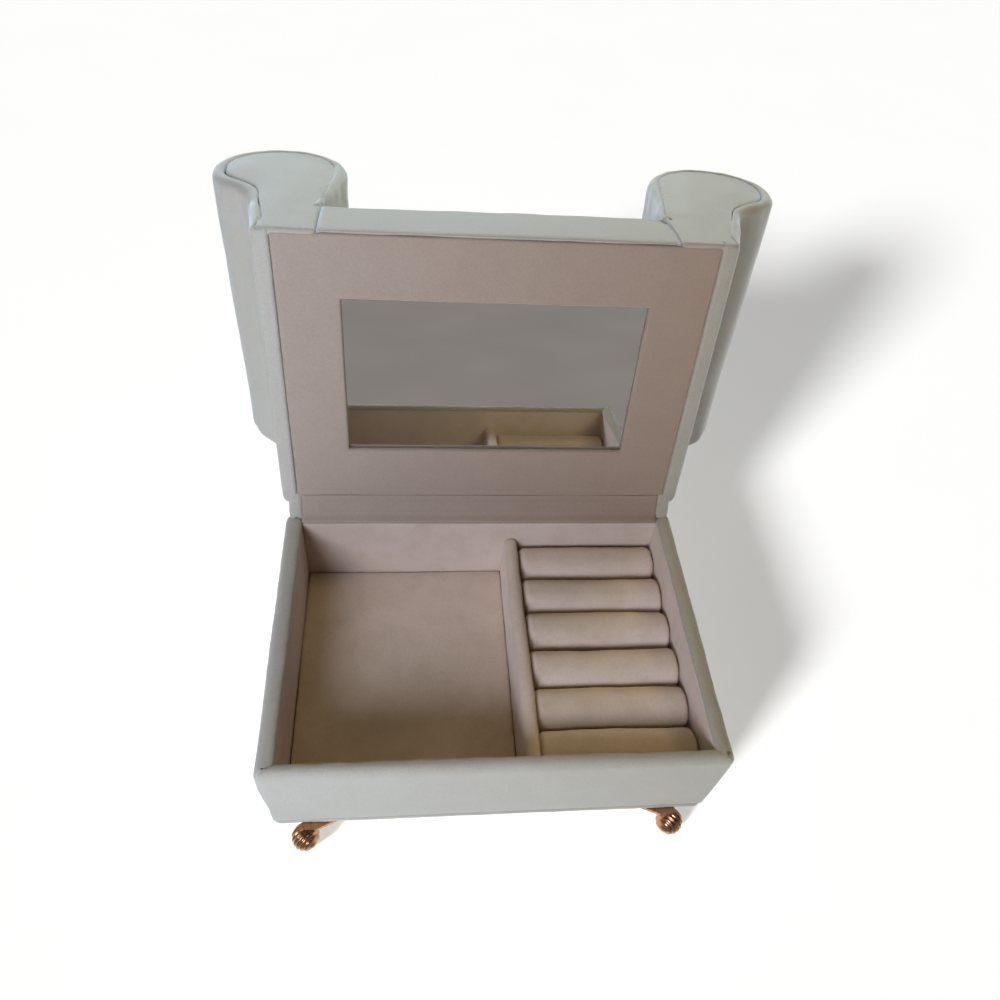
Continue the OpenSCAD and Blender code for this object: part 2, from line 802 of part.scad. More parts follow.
base_board();
base_cover();
base_paper();
wall_front();
wall_back();
wall_side(-board_hw);  // wall_left
wall_side(board_hw - wall_t);  // wall_right
case_cover();
lining_end(-inner_hd - lining_t);  // lining_front
lining_end(inner_hd);  // lining_back
lining_side(-inner_hw - lining_t);  // lining_left
lining_side(inner_hw);  // lining_right
floor_pad();
divider();
ring_card();
ring_pad(1);  // ring_pad_1
ring_pad(2);  // ring_pad_2
ring_pad(3);  // ring_pad_3
ring_pad(4);  // ring_pad_4
ring_pad(5);  // ring_pad_5
ring_pad(6);  // ring_pad_6
mirror([1, 0, 0]) foot();  // foot_front_left
foot();  // foot_front_right
rotate(180) foot();  // foot_back_left
mirror([0, 1, 0]) foot();  // foot_back_right
foot_screws();
hinge_strip();
hinge_case(-hinge_x);  // hinge_case_left
hinge_case(hinge_x);  // hinge_case_right
hinge_screws(case_screw_z, case_screw_l);  // hinge_case_screws
hinge_pin(-hinge_x);  // hinge_pin_left
hinge_pin(hinge_x);  // hinge_pin_right
swung() hinge_lid(-hinge_x);  // hinge_lid_left
swung() hinge_lid(hinge_x);  // hinge_lid_right
swung() hinge_screws(lid_screw_z, lid_screw_l);  // hinge_lid_screws
lid_rail_front();
lid_rail_back();
lid_rail_side(-frame_hw);  // lid_rail_left
lid_rail_side(frame_hw - rail_t);  // lid_rail_right
lid_deck();
lid_front_cover();
lid_back_cover();
seat_cushion();
lid_lining();
mirror_glass();  // mirror
mirror_card();
arm_core(-1);  // arm_core_left
arm_core(1);  // arm_core_right
arm_cover(-1);  // arm_cover_left
arm_cover(1);  // arm_cover_right
arm_front(-1);  // arm_front_left
arm_front(1);  // arm_front_right
arm_back(-1);  // arm_back_left
arm_back(1);  // arm_back_right
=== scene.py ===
# %% [markdown]
# # A velvet jewellery box with a mirror in its lid
# The box is shaped like a small bench: a padded case on four metal feet, and a lid whose seat and two
# rolled arms are upholstered. The CAD model gives boards, hinges, feet and glass at their true sizes.
# This lesson dresses it: each soft CAD block is replaced by cloth that is wrapped, rounded and creased as
# an upholsterer would leave it. The hard pieces keep their CAD shape, apart from the balls of the feet, and
# get a real finish.

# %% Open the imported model
import json
import math

import bmesh
import bpy
from mathutils import Matrix, Vector, kdtree, noise


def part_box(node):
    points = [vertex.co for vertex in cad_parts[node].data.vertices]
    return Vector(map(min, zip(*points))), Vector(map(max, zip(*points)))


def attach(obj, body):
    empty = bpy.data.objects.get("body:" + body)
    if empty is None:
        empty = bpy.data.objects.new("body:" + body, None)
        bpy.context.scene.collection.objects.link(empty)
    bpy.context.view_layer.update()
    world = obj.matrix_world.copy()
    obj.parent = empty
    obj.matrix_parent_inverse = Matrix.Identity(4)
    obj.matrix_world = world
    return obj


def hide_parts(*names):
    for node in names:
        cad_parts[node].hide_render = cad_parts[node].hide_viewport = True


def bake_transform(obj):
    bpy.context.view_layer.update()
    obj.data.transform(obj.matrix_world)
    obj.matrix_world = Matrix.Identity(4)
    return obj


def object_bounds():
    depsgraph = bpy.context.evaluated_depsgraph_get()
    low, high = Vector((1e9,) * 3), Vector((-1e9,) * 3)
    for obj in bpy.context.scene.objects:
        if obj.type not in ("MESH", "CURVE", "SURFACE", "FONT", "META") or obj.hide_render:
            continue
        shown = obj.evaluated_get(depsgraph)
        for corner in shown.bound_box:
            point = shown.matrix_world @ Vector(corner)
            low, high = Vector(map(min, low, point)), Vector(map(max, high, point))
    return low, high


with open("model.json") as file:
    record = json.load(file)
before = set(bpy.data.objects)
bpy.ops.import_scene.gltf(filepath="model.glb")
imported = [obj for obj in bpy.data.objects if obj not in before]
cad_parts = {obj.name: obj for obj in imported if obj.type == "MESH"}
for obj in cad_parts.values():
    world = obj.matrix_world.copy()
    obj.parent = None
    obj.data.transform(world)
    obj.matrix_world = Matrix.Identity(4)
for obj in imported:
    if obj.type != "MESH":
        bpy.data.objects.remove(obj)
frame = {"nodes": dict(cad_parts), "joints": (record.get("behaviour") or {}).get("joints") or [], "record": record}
cad_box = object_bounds()
nodes = frame["nodes"]
print("CAD box", [round(c * 1000, 1) for corner in cad_box for c in corner], "mm")


# %% [markdown]
# ## Millimetres
# Upholstery is measured in millimetres and Blender works in metres. One small function turns the first
# into the second, so every size below can be read against a ruler.

# %% Sizes in millimetres
def mm(*sizes):
    """Millimetres to metres: one number, or a point."""
    return sizes[0] / 1000 if len(sizes) == 1 else Vector(sizes) / 1000


def box_mm(node, turn=None):
    """Lowest and highest corner of a CAD node in millimetres, turned by a matrix first if one is given."""
    points = [turn @ v.co if turn else v.co for v in nodes[node].data.vertices]
    return [Vector([pick(p[i] for p in points) for i in range(3)]) * 1000 for pick in (min, max)]


# %% [markdown]
# ## Working on the lid with the lid closed
# The photo shows the lid open, so the lid's pieces lie at an awkward angle. It is far easier to shape them
# with the lid shut, in plain heights above its underside, and to swing them open at the end. The swing is
# one matrix about the hinge pin, and the joint in the CAD record gives its place and its angle.

# %% The lid's swing
hinge = frame["joints"][0]
pin = Vector(hinge["pos_m"])
lid_gap = mm(0.4)
lid_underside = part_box("case_cover")[1].z + lid_gap
swing_open = (
    Matrix.Translation(pin)
    @ Matrix.Rotation(-math.radians(hinge["range_deg"][1]), 4, "X")
    @ Matrix.Translation((0, -pin.y, lid_underside - pin.z))
)
shut = swing_open.inverted()
print("lid lining, lid shut:", [tuple(round(c, 2) for c in p) for p in box_mm("lid_lining", shut)])


# %% [markdown]
# ## Light and camera
# The photo is lit by a cool window low at the front left, which throws the front wall's shadow over the
# tray, and by a paler window behind the box, which lights what faces up on the open lid and leaves the
# tray dark. The rest is a little warm light from a lamp at the right and from the ceiling. Each of these is
# a disk: its width sets how soft its shadows are. The camera looks down from the front with a slight roll,
# as a phone held over the box does.

# %% Light and camera
scene = bpy.context.scene
scene.view_settings.view_transform = "Standard"
floor_z = cad_box[0].z
box_middle = Vector((0, 0.02, 0.05))        # what the lamps point at


def disk_light(name, place, size, power, tint):
    """A round lamp of this width that points at the box and is itself unseen."""
    light = bpy.data.lights.new(name, "AREA")
    light.shape = "DISK"
    light.size = size
    light.energy = power
    light.color = tint
    lamp = bpy.data.objects.new(name, light)
    lamp.location = place
    lamp.rotation_euler = (box_middle - Vector(place)).to_track_quat("-Z", "Y").to_euler()
    lamp.visible_camera = False
    scene.collection.objects.link(lamp)
    return lamp


box_lights = [
    disk_light("window", (-0.26, -0.50, 0.36), 0.26, 3.08, (0.83, 0.87, 1.0)),
    disk_light("back_window", (0.0, 0.62, 0.45), 0.30, 3.8, (0.73, 0.86, 1.0)),
    disk_light("room_lamp", (0.45, 0.50, 0.50), 0.26, 1.37, (1.0, 0.84, 0.42)),
    disk_light("ceiling", (0.0, 0.15, 0.90), 0.30, 0.6, (1.0, 0.74, 0.2)),
]

# %% The camera
camera_data = bpy.data.cameras.new("camera")
camera_data.sensor_width = 36
camera_data.lens = 29.0
camera = bpy.data.objects.new("camera", camera_data)
pitch, yaw, roll = (math.radians(a) for a in (-48.28, 9.49, 7.17))
forward = Vector((math.sin(yaw) * math.cos(pitch), math.cos(yaw) * math.cos(pitch), math.sin(pitch)))
level_right = forward.cross(Vector((0, 0, 1))).normalized()
level_up = level_right.cross(forward)
right = level_right * math.cos(roll) + level_up * math.sin(roll)
up = level_up * math.cos(roll) - level_right * math.sin(roll)
camera.matrix_world = Matrix.Translation(mm(-29.73, -161.51, 295.04)) @ Matrix(
    (right, up, -forward)
).transposed().to_4x4()
scene.collection.objects.link(camera)
scene.camera = camera
print("lights:", [lamp.name for lamp in box_lights], "lens", camera_data.lens, "mm")


# %% [markdown]
# ## Materials
# Every finish starts from what the real one is. A short function adds a shader node with its settings and
# its links, and each material is a short chain of such nodes: a pattern in real millimetres, two or three
# colours that it mixes, and a fine bump for fibres or grain.

# %% Colour and node helpers
def colour(hex_code):
    """An sRGB hex colour as the linear values that shaders use."""
    parts = [int(hex_code[i:i + 2], 16) / 255 for i in (1, 3, 5)]
    return [c / 12.92 if c <= 0.04045 else ((c + 0.055) / 1.055) ** 2.4 for c in parts] + [1]


def new_material(name):
    """An empty material, and the object coordinates that its patterns read."""
    material = bpy.data.materials.new(name)
    material.use_nodes = True
    material.node_tree.nodes.clear()
    return material, add_node(material, "TexCoord").outputs["Object"]


def add_node(material, kind, settings=(), links=()):
    """Adds a shader node. Settings are its options and fixed inputs, links are the outputs that feed it."""
    node = material.node_tree.nodes.new("ShaderNode" + kind)
    for key, value in dict(settings).items():
        if isinstance(key, str) and hasattr(node, key):
            setattr(node, key, value)
        else:
            node.inputs[key].default_value = value
    for key, output in dict(links).items():
        material.node_tree.links.new(output, node.inputs[key])
    return node


def per_metre(size_mm):
    """The noise scale whose features are about this many millimetres wide."""
    return 1000 / size_mm


# %% [markdown]
# ## Velvet and microsuede
# Both are napped cloths: short fibres stand up from a woven ground. Seen along the fibres the cloth is
# dark, and seen across them it glows, which is what the sheen lobe of the Principled shader gives. The
# nap is never combed quite evenly, so broad soft patches drift a little in colour, and a fine speckle
# shows single tufts. The fibres themselves are a tenth of a millimetre thick and would not show, so the
# speckle is drawn a few times coarser.

# %% Napped cloth
def napped_cloth(name, tones, patch_mm, tuft_mm, sheen, sheen_rough, sheen_tint, bump_mm, speckle,
                 across=None):
    """Cloth with a nap. Tones are the usual, the brushed-up and the shaded colour, and across, when given, is
    painted light:
    the colours at its left and right ends, paler where the window's light is strong and browner where it falls
    off."""
    usual, raised, deep = (colour(t) for t in tones)
    cloth, place = new_material(name)
    patches = add_node(cloth, "TexNoise", {"Scale": per_metre(patch_mm), "Detail": 2.0, "Roughness": 0.45},
                       {"Vector": place})
    drift = add_node(cloth, "MapRange", {"From Min": 0.38, "From Max": 0.66},
                     {"Value": patches.outputs["Fac"]})
    base = add_node(cloth, "Mix", {"data_type": "RGBA", 6: usual, 7: raised}, {0: drift.outputs["Result"]})
    mottle = add_node(cloth, "TexNoise",
                      {"Scale": per_metre(patch_mm * 0.28), "Detail": 3.0, "Roughness": 0.6},
                      {"Vector": place})
    shade = add_node(cloth, "MapRange", {"From Min": 0.45, "From Max": 0.75, "To Max": 0.55},
                     {"Value": mottle.outputs["Fac"]})
    mixed = add_node(cloth, "Mix", {"data_type": "RGBA", 7: deep},
                     {0: shade.outputs["Result"], 6: base.outputs[2]})
    # painted light: three quarters of the colour follows a ramp from the lit left end to the shaded right end
    if across:
        half_box = mm(75)
        x = add_node(cloth, "SeparateXYZ", links={0: place}).outputs["X"]
        turn = add_node(cloth, "MapRange", {"From Min": -half_box, "From Max": half_box}, {"Value": x})
        lie = add_node(cloth, "Mix", {"data_type": "RGBA", 6: colour(across[0]), 7: colour(across[1])},
                       {0: turn.outputs["Result"]})
        mixed = add_node(cloth, "Mix", {"data_type": "RGBA", 0: 0.75},
                         {6: mixed.outputs[2], 7: lie.outputs[2]})
    tufts = add_node(cloth, "TexNoise", {"Scale": per_metre(tuft_mm), "Detail": 2.0, "Roughness": 0.7},
                     {"Vector": place})
    fleck = add_node(cloth, "MapRange", {"From Min": 0.3, "From Max": 0.7, "To Min": 1 - speckle,
                                         "To Max": 1 + speckle}, {"Value": tufts.outputs["Fac"]})
    tinted = add_node(cloth, "VectorMath", {"operation": "SCALE"},
                      {0: mixed.outputs[2], "Scale": fleck.outputs["Result"]})
    fibres = add_node(cloth, "Bump", {"Strength": 0.7, "Distance": mm(bump_mm)},
                      {"Height": tufts.outputs["Fac"]})
    surface = add_node(cloth, "BsdfPrincipled",
                       {"Roughness": 0.92, "IOR": 1.45, "Specular IOR Level": 0.18, "Sheen Weight": sheen,
                        "Sheen Roughness": sheen_rough, "Sheen Tint": sheen_tint},
                       {"Base Color": tinted.outputs[0], "Normal": fibres.outputs["Normal"]})
    add_node(cloth, "OutputMaterial", links={"Surface": surface.outputs["BSDF"]})
    return cloth


# %% The velvet and the two suedes
# the velvet's across colours are painted shade: paler at the left, browner at the right, where the window's light
# falls off
velvet = napped_cloth("short_pile_velvet", ("#b4b0a4", "#bab9b3", "#a8a394"), 26, 0.55,
                      0.75, 0.42, (0.80, 0.92, 1.0, 1), 0.12, 0.07, across=("#bbbab3", "#a69e8d"))
microsuede = (34, 0.75, 0.35, 0.5, (1.0, 0.93, 0.9, 1), 0.07, 0.055)
suede = napped_cloth("brushed_microsuede", ("#cebeb1", "#d4c4b9", "#c1ae9f"), *microsuede)
# the lid's suede is a good deal darker than the tray's, and its across colours paint shade that deepens towards
# the right, where the window's light falls off
lid_suede = napped_cloth("lid_microsuede", ("#a39183", "#a8968a", "#978474"), *microsuede,
                         across=("#ada198", "#96806e"))
print("cloths:", velvet.name, suede.name, lid_suede.name)


# %% [markdown]
# ## Metal, glass and board
# The feet and hinges are cast and pressed zinc with a polished rose gold plating: a metal whose whole
# colour is in its reflection, with faint polishing haze. The mirror is silver behind glass, nearly
# perfect. The boards inside are raw fibreboard and grey card, which only show where the cloth ends.

# %% Rose gold plate
def rose_gold_plate():
    plate, place = new_material("rose_gold_plate")
    haze = add_node(plate, "TexNoise", {"Scale": per_metre(3), "Detail": 4.0}, {"Vector": place})
    rough = add_node(plate, "MapRange", {"From Min": 0.3, "From Max": 0.7, "To Min": 0.22, "To Max": 0.34},
                     {"Value": haze.outputs["Fac"]})
    tone = add_node(plate, "Mix", {"data_type": "RGBA", 6: colour("#d0a57f"), 7: colour("#9c6f50")},
                    {0: haze.outputs["Fac"]})
    # polishing lines are finer than a pixel, so only their scatter is drawn
    lines = add_node(plate, "TexNoise", {"Scale": per_metre(0.4), "Detail": 1.0}, {"Vector": place})
    scatter = add_node(plate, "Bump", {"Strength": 0.25, "Distance": mm(0.02)},
                       {"Height": lines.outputs["Fac"]})
    surface = add_node(plate, "BsdfPrincipled", {"Metallic": 1.0},
                       {"Base Color": tone.outputs[2], "Roughness": rough.outputs["Result"],
                        "Normal": scatter.outputs["Normal"]})
    add_node(plate, "OutputMaterial", links={"Surface": surface.outputs["BSDF"]})
    return plate


# %% Mirror glass
def silvered_glass():
    glass, place = new_material("silvered_glass")
    # a breath of dust and polish keeps the reflection from looking computed
    dust = add_node(glass, "TexNoise", {"Scale": per_metre(18), "Detail": 5.0}, {"Vector": place})
    rough = add_node(glass, "MapRange", {"From Min": 0.4, "From Max": 0.8, "To Min": 0.0, "To Max": 0.035},
                     {"Value": dust.outputs["Fac"]})
    surface = add_node(glass, "BsdfPrincipled", {"Metallic": 1.0, "Base Color": colour("#eceeed")},
                       {"Roughness": rough.outputs["Result"]})
    add_node(glass, "OutputMaterial", links={"Surface": surface.outputs["BSDF"]})
    return glass


# %% Board, card and paper
def fibrous(name, light, dark, fibre_mm, stretch):
    """Pressed fibre, as in board, card and paper: short strands in two tones."""
    board, place = new_material(name)
    lie = add_node(board, "Mapping", {"Scale": (1, stretch, stretch)}, {"Vector": place})
    strands = add_node(board, "TexNoise", {"Scale": per_metre(fibre_mm), "Detail": 5.0, "Roughness": 0.7},
                       {"Vector": lie.outputs["Vector"]})
    tone = add_node(board, "Mix", {"data_type": "RGBA", 6: colour(dark), 7: colour(light)},
                    {0: strands.outputs["Fac"]})
    grain = add_node(board, "Bump", {"Strength": 0.4, "Distance": mm(0.08)},
                     {"Height": strands.outputs["Fac"]})
    surface = add_node(board, "BsdfPrincipled", {"Roughness": 0.85},
                       {"Base Color": tone.outputs[2], "Normal": grain.outputs["Normal"]})
    add_node(board, "OutputMaterial", links={"Surface": surface.outputs["BSDF"]})
    return board


rose_gold = rose_gold_plate()
mirror_silver = silvered_glass()
fibreboard = fibrous("raw_fibreboard", "#b59f7f", "#8f7a5c", 1.6, 2.5)
grey_card = fibrous("grey_card", "#a8a296", "#8d877b", 1.2, 1.6)
backing_paper = fibrous("backing_paper", "#e4e1da", "#d3cfc6", 0.9, 1.3)
print("hard finishes:", [m.name for m in (rose_gold, mirror_silver, fibreboard, grey_card, backing_paper)])


# %% [markdown]
# ## The floor and the room
# The photo's ground is pure white, with one long soft shadow to the right of the box. A white paper sweep
# gets two lights of its own: a low sun that draws the shadow, and a shadowless one that lifts it to pale
# grey. Light linking keeps them off the box, and keeps the box's lights off the paper. The mirror would
# show nothing but glaring paper, so a grey card lies before the box, as a photographer would lay one. It
# is seen in reflections only. A pale dome closes the room for the eye alone, and lights nothing.

# %% The floor and the grey card
def plain_surface(name, tone, glow=False):
    """A matt paper, or a card that glows evenly in its own tone."""
    paper, place = new_material(name)
    mottle = add_node(paper, "TexNoise", {"Scale": per_metre(90), "Detail": 2.0}, {"Vector": place})
    mixed = add_node(paper, "Mix", {"data_type": "RGBA", 6: colour(tone[0]), 7: colour(tone[1])},
                     {0: mottle.outputs["Fac"]})
    if glow:
        surface = add_node(paper, "Emission", links={"Color": mixed.outputs[2]})
    else:
        surface = add_node(paper, "BsdfPrincipled", {"Roughness": 0.95, "Specular IOR Level": 0.1},
                           {"Base Color": mixed.outputs[2]})
    add_node(paper, "OutputMaterial", links={"Surface": surface.outputs[0]})
    return paper


def stage_sheet(name, size, place, material):
    """A flat square that belongs to the room and not to the box."""
    bpy.ops.mesh.primitive_plane_add(size=size, location=place)
    sheet = bpy.context.object
    sheet.name = name
    sheet.data.materials.append(material)
    return sheet


floor = stage_sheet("floor", 8, (0, 0, floor_z), plain_surface("white_sweep", ("#f4f4f3", "#f6f6f5")))
card_size = 0.9
card = stage_sheet("grey_card_for_mirror", card_size, (0, -0.066 - card_size / 2, floor_z + mm(0.3)),
                   plain_surface("dull_card", ("#857f7b", "#96908c"), glow=True))
card.visible_camera = card.visible_shadow = card.visible_diffuse = card.visible_transmission = False


# %% The floor's own lights
def sun_light(name, towards, width_deg, strength, shadow):
    """Light from far away that shines towards a direction. Its width sets how soft its shadow is."""
    light = bpy.data.lights.new(name, "SUN")
    light.angle = math.radians(width_deg)
    light.energy = strength
    light.use_shadow = shadow
    lamp = bpy.data.objects.new(name, light)
    lamp.rotation_euler = Vector(towards).to_track_quat("-Z", "Y").to_euler()
    scene.collection.objects.link(lamp)
    return lamp


floor_lights = [sun_light("low_sun", (0.65, 0.63, -0.42), 11, 4.3, True),
                sun_light("lift", (0, 0, -1), 10, 1.5, False)]
for name, lamps, state in (("floor_only", floor_lights, "INCLUDE"), ("not_floor", box_lights, "EXCLUDE")):
    group = bpy.data.collections.new(name)
    group.objects.link(floor)
    group.collection_objects[0].light_linking.link_state = state
    for lamp in lamps:
        lamp.light_linking.receiver_collection = group

# %% The dome and the world
bpy.ops.mesh.primitive_uv_sphere_add(segments=48, ring_count=24, radius=3.9, location=(0, 0, floor_z))
dome = bpy.context.object
dome.name = "pale_dome"
dome.data.materials.append(plain_surface("pale_wall", ("#eeeeec", "#f2f2f0"), glow=True))
dome.visible_shadow = dome.visible_diffuse = dome.visible_transmission = dome.visible_glossy = False

room = bpy.data.worlds.new("room")
room.use_nodes = True
air = room.node_tree.nodes["Background"].inputs
air["Color"].default_value = colour("#dbd3c4")
air["Strength"].default_value = 0.05
scene.world = room
print("room:", floor.name, card.name, dome.name, "and", [lamp.name for lamp in floor_lights])


# %% [markdown]
# ## Shaping cloth in rings
# Most of the upholstery here is a sheet that is pulled round a board. The natural way to model that is to
# draw the board's outline once, as a loop of edges, and to extrude the loop again and again: outwards
# over the foam, round an edge, down into a crease. Each vertex remembers where it started and which way
# is outwards, so a ring is only a distance out and a distance along.

# %% Outlines and rings
def keep_start(bm, outward):
    """Stores each vertex's starting place, and its outward direction, in layers that extrusion copies."""
    start = bm.verts.layers.float_vector.new("start")
    away = bm.verts.layers.float_vector.new("away")
    for v in bm.verts:
        v[start] = v.co
        v[away] = outward(v)
    return start, away


def cut_long_edges(bm, spacing):
    """Cuts every long edge into steps of about this spacing."""
    for edge in [e for e in bm.edges if e.calc_length() > 1.5 * spacing]:
        bmesh.ops.subdivide_edges(bm, edges=[edge], cuts=round(edge.calc_length() / spacing) - 1)


def rounded_rectangle(half_x, half_y, corner, spacing, steps=6):
    """A level loop of edges in millimetres, with round corners. Returns the bmesh and its two layers."""
    bm = bmesh.new()
    bmesh.ops.create_grid(bm, x_segments=1, y_segments=1, size=1)
    bmesh.ops.scale(bm, vec=(half_x, half_y, 1), verts=bm.verts)
    bmesh.ops.bevel(bm, geom=bm.verts[:], offset=corner, offset_type="OFFSET", segments=steps, profile=0.5,
                    affect="VERTICES", material=-1)
    bmesh.ops.delete(bm, geom=bm.faces[:], context="FACES_ONLY")
    cut_long_edges(bm, spacing)

    def outward(v):
        past_x = max(abs(v.co.x) - half_x + corner, 0)
        past_y = max(abs(v.co.y) - half_y + corner, 0)
        return Vector((math.copysign(past_x, v.co.x), math.copysign(past_y, v.co.y), 0)).normalized()

    return bm, *keep_start(bm, outward)


def beside_run(v, inside):
    """The direction square to an open run of edges at one of its vertices, away from the point inside."""
    ends = [e.other_vert(v).co for e in v.link_edges] + [v.co]
    along = (ends[0] - ends[1]).normalized()
    facing = v.co - inside
    for flat in range(3):          # the run is flat, so its normal has no part along that axis
        if abs(along[flat]) < 1e-9 and all(abs(e[flat] - v.co[flat]) < 1e-6 for e in ends):
            facing[flat] = 0
    return (facing - along * facing.dot(along)).normalized()


def verts_of(geom):
    """The vertices in what a bmesh operator made."""
    return [g for g in geom if isinstance(g, bmesh.types.BMVert)]


def edges_of(geom):
    """The edges in what a bmesh operator made."""
    return [g for g in geom if isinstance(g, bmesh.types.BMEdge)]


def pull_over(bm, rings, capped=False):
    """Moves the drawn run to the first ring and extrudes it to each of the others. A ring is a function
    that gives a vertex its new place. Capped closes both ends with a face."""
    edges = bm.edges[:]
    for v in bm.verts:
        v.co = rings[0](v)
    if capped:
        bmesh.ops.contextual_create(bm, geom=bm.edges[:])
    for ring in rings[1:]:
        made = bmesh.ops.extrude_edge_only(bm, edges=edges)["geom"]
        for v in verts_of(made):
            v.co = ring(v)
        edges = edges_of(made)
    if capped:
        bmesh.ops.contextual_create(bm, geom=edges)


# %% Curves for turns, swells and creases
def quarter(steps):
    """The angles from 0 to 90 degrees in this many steps, for a round edge."""
    return [math.radians(90 / steps * k) for k in range(steps + 1)]


def spaced(start, run, count):
    """The ends of this many even steps along a run."""
    return [start + run * k / count for k in range(count + 1)]


def ease(x):
    """0 below 0, 1 above 1, and a smooth rise between them."""
    x = min(max(x, 0), 1)
    return x * x * (3 - 2 * x)


def hump(x, width):
    """1 at x = 0, fading to nothing at about twice the width."""
    return math.exp(-((x / width) ** 2))


# %% [markdown]
# ## Soft waves
# Cloth over foam is never flat. After a piece has its form, its vertices are moved a few tenths of a
# millimetre along their normals in smooth noise, more where the cloth is gathered and less where it is
# pulled tight. The noise has no random seed, so the box looks the same every time.

# %% Waves and finishing a piece
def ruffle(bm, depth, size, where=lambda p: 1.0, stretch=(1, 1, 1)):
    """Moves vertices along their normals by up to depth, in waves about size across, all in millimetres."""
    bm.normal_update()
    for v in bm.verts:
        amount = where(v.co)
        if amount:
            at = Vector([v.co[i] / (size * stretch[i]) for i in range(3)])
            v.co += v.normal * (depth * amount * noise.noise(at))


def finish_piece(bm, name, body, replaced, material, thick=0):
    """Turns a bmesh in millimetres into a piece in metres that rides on its body. What rides on the lid is
    drawn with the lid shut, and is swung open here."""
    bmesh.ops.remove_doubles(bm, verts=bm.verts, dist=0.004)
    bmesh.ops.dissolve_degenerate(bm, edges=bm.edges, dist=0.002)
    bmesh.ops.recalc_face_normals(bm, faces=bm.faces)
    bmesh.ops.scale(bm, vec=(0.001, 0.001, 0.001), verts=bm.verts)
    if body == "lid":
        bmesh.ops.transform(bm, matrix=swing_open, verts=bm.verts)
    mesh = bpy.data.meshes.new(name)
    open_edges = sum(1 for e in bm.edges if not e.is_manifold)
    bm.to_mesh(mesh)
    bm.free()
    mesh.shade_smooth()
    mesh.materials.append(material)
    piece = bpy.data.objects.new(name, mesh)
    scene.collection.objects.link(piece)
    if thick:                       # the cloth's own thickness, on the inside
        cloth = piece.modifiers.new("cloth", "SOLIDIFY")
        cloth.thickness = mm(thick)
        cloth.offset = -1
    if body:
        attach(piece, body)
    if replaced:
        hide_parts(*replaced)
    print(f"{name}: {len(mesh.polygons)} faces, {open_edges} edges without two faces")
    return piece


# %% [markdown]
# ## Velvet over the case
# The four walls are boards. Thin foam makes the two sides swell, most of all near the top, and velvet is
# pulled up the outside, over the top edge and a little way down inside. One ring after another follows
# that path: out of the seam at the base, up the side, round the rim and down the lip. The ends of the
# case have no foam, so the same ring stands out less there.

# %% The case's sizes
wall_low, wall_high = box_mm("wall_front")
board_x, board_y = wall_high.x, -wall_low.y
base_top, board_top = wall_low.z, wall_high.z
rim_top = box_mm("case_cover")[1].z
lining_top = box_mm("lining_front")[1].z
lining_in = box_mm("lining_left")[1].x + board_x      # from a board's outer face to the lining's inner face
side_full = box_mm("case_cover")[1].x - board_x
end_full = box_mm("case_cover")[1].y - board_y
strip_half = box_mm("hinge_strip")[1].x
corner_round = 2.6
print("boards", board_x, board_y, "rim", rim_top, "padding", side_full, end_full)


# %% Velvet over the case
def case_rings():
    """Side padding, end padding and height of each ring, from the base up and over to the lip."""
    low_full, side_z, side_tall = 0.8, base_top + 0.6, 33.4
    rings = [(0.0, 0.4, base_top + 0.05), (0.5, 1.0, base_top + 0.15), (low_full, end_full, side_z)]
    for t in spaced(0, 1, 24)[1:]:
        belly = low_full + (side_full - low_full) * ease(t / 0.86)
        rings.append((belly, end_full + 0.25 * math.sin(math.pi * t), side_z + t * side_tall))
    turn_z = rings[-1][2]
    turns = quarter(9)[1:]
    for a in turns:               # the outer turn at the rim, a quarter of an ellipse
        rings.append((side_full - (side_full + 1) * (1 - math.cos(a)),
                      end_full - (end_full + 1.2) * (1 - math.cos(a)),
                      turn_z + (rim_top - turn_z) * math.sin(a)))
    for a in turns:               # the inner turn, tighter, down to the lip
        rings.append((-1.1 - (lining_in - 1.0) * math.sin(a), -1.2 - (lining_in - 1.1) * math.sin(a),
                      rim_top - 1.5 * (1 - math.cos(a))))
    lip = -lining_in - 0.1
    rings += [(lip, lip, lining_top + 0.1), (lip + 1.0, lip + 1.0, lining_top + 0.05),
              (lip + 1.1, lip + 1.1, board_top + 0.05), (0.05, 0.05, board_top + 0.05)]
    return rings


def build_case_velvet():
    bm, start, away = rounded_rectangle(board_x + side_full, board_y + end_full, corner_round, 1.3)

    def ring_place(side, end, z):
        def put(v):
            out = v[away]
            inward = Vector((out.x * (side - side_full), out.y * (end - end_full), 0))
            p = Vector((v[start].x, v[start].y, 0)) + inward
            # the lining strip crosses the back wall, and nothing pads it there
            gap = ease((strip_half + 1.6 - abs(p.x)) / 1.6) if out.y > 0.5 else 0
            p.z = z
            if gap:
                p.y += (max(p.y, board_y + 0.05) - p.y) * gap
                p.z = z + (min(z, board_top + 0.3) - z) * gap
            return p
        return put

    behind_boards = (0.05, 0.05, base_top + 0.05)
    pull_over(bm, [ring_place(*ring) for ring in [*case_rings(), behind_boards]])

    def rim(p):
        return ease((p.z - rim_top + 5) / 4) * (0 if p.y > board_y - 2 and abs(p.x) < strip_half else 1)

    # a faint swell on the walls, then coarse and fine puckers round the rim
    ruffle(bm, 0.3, 26, lambda p: ease((p.z - 6) / 8))
    ruffle(bm, 0.22, 8, rim, (1, 1, 2.5))
    ruffle(bm, 0.16, 2.6, rim, (1, 1, 2.5))
    for v in bm.verts:            # a pleat runs across each corner of the rim, between two small swells
        dx = board_x + 1.2 - abs(v.co.x)
        dy = board_y + 0.2 - abs(v.co.y)
        across = dx - dy
        near = ease((6 - math.hypot(dx, dy)) / 3) * ease((v.co.z - rim_top + 6) / 4)
        v.co.z += near * (0.25 * hump(abs(across) - 1.3, 0.7) - 0.5 * hump(across, 0.45))
    return finish_piece(bm, "case_velvet", "case", ["case_cover"], velvet)


build_case_velvet()


# %% [markdown]
# ## The wrapped base
# The base is a board with the same velvet turned under its edge, and a sheet of paper hides the turned
# edge below. Where it meets the walls both cloths roll in, and that shallow groove is the seam line one
# sees just above the bottom edge.

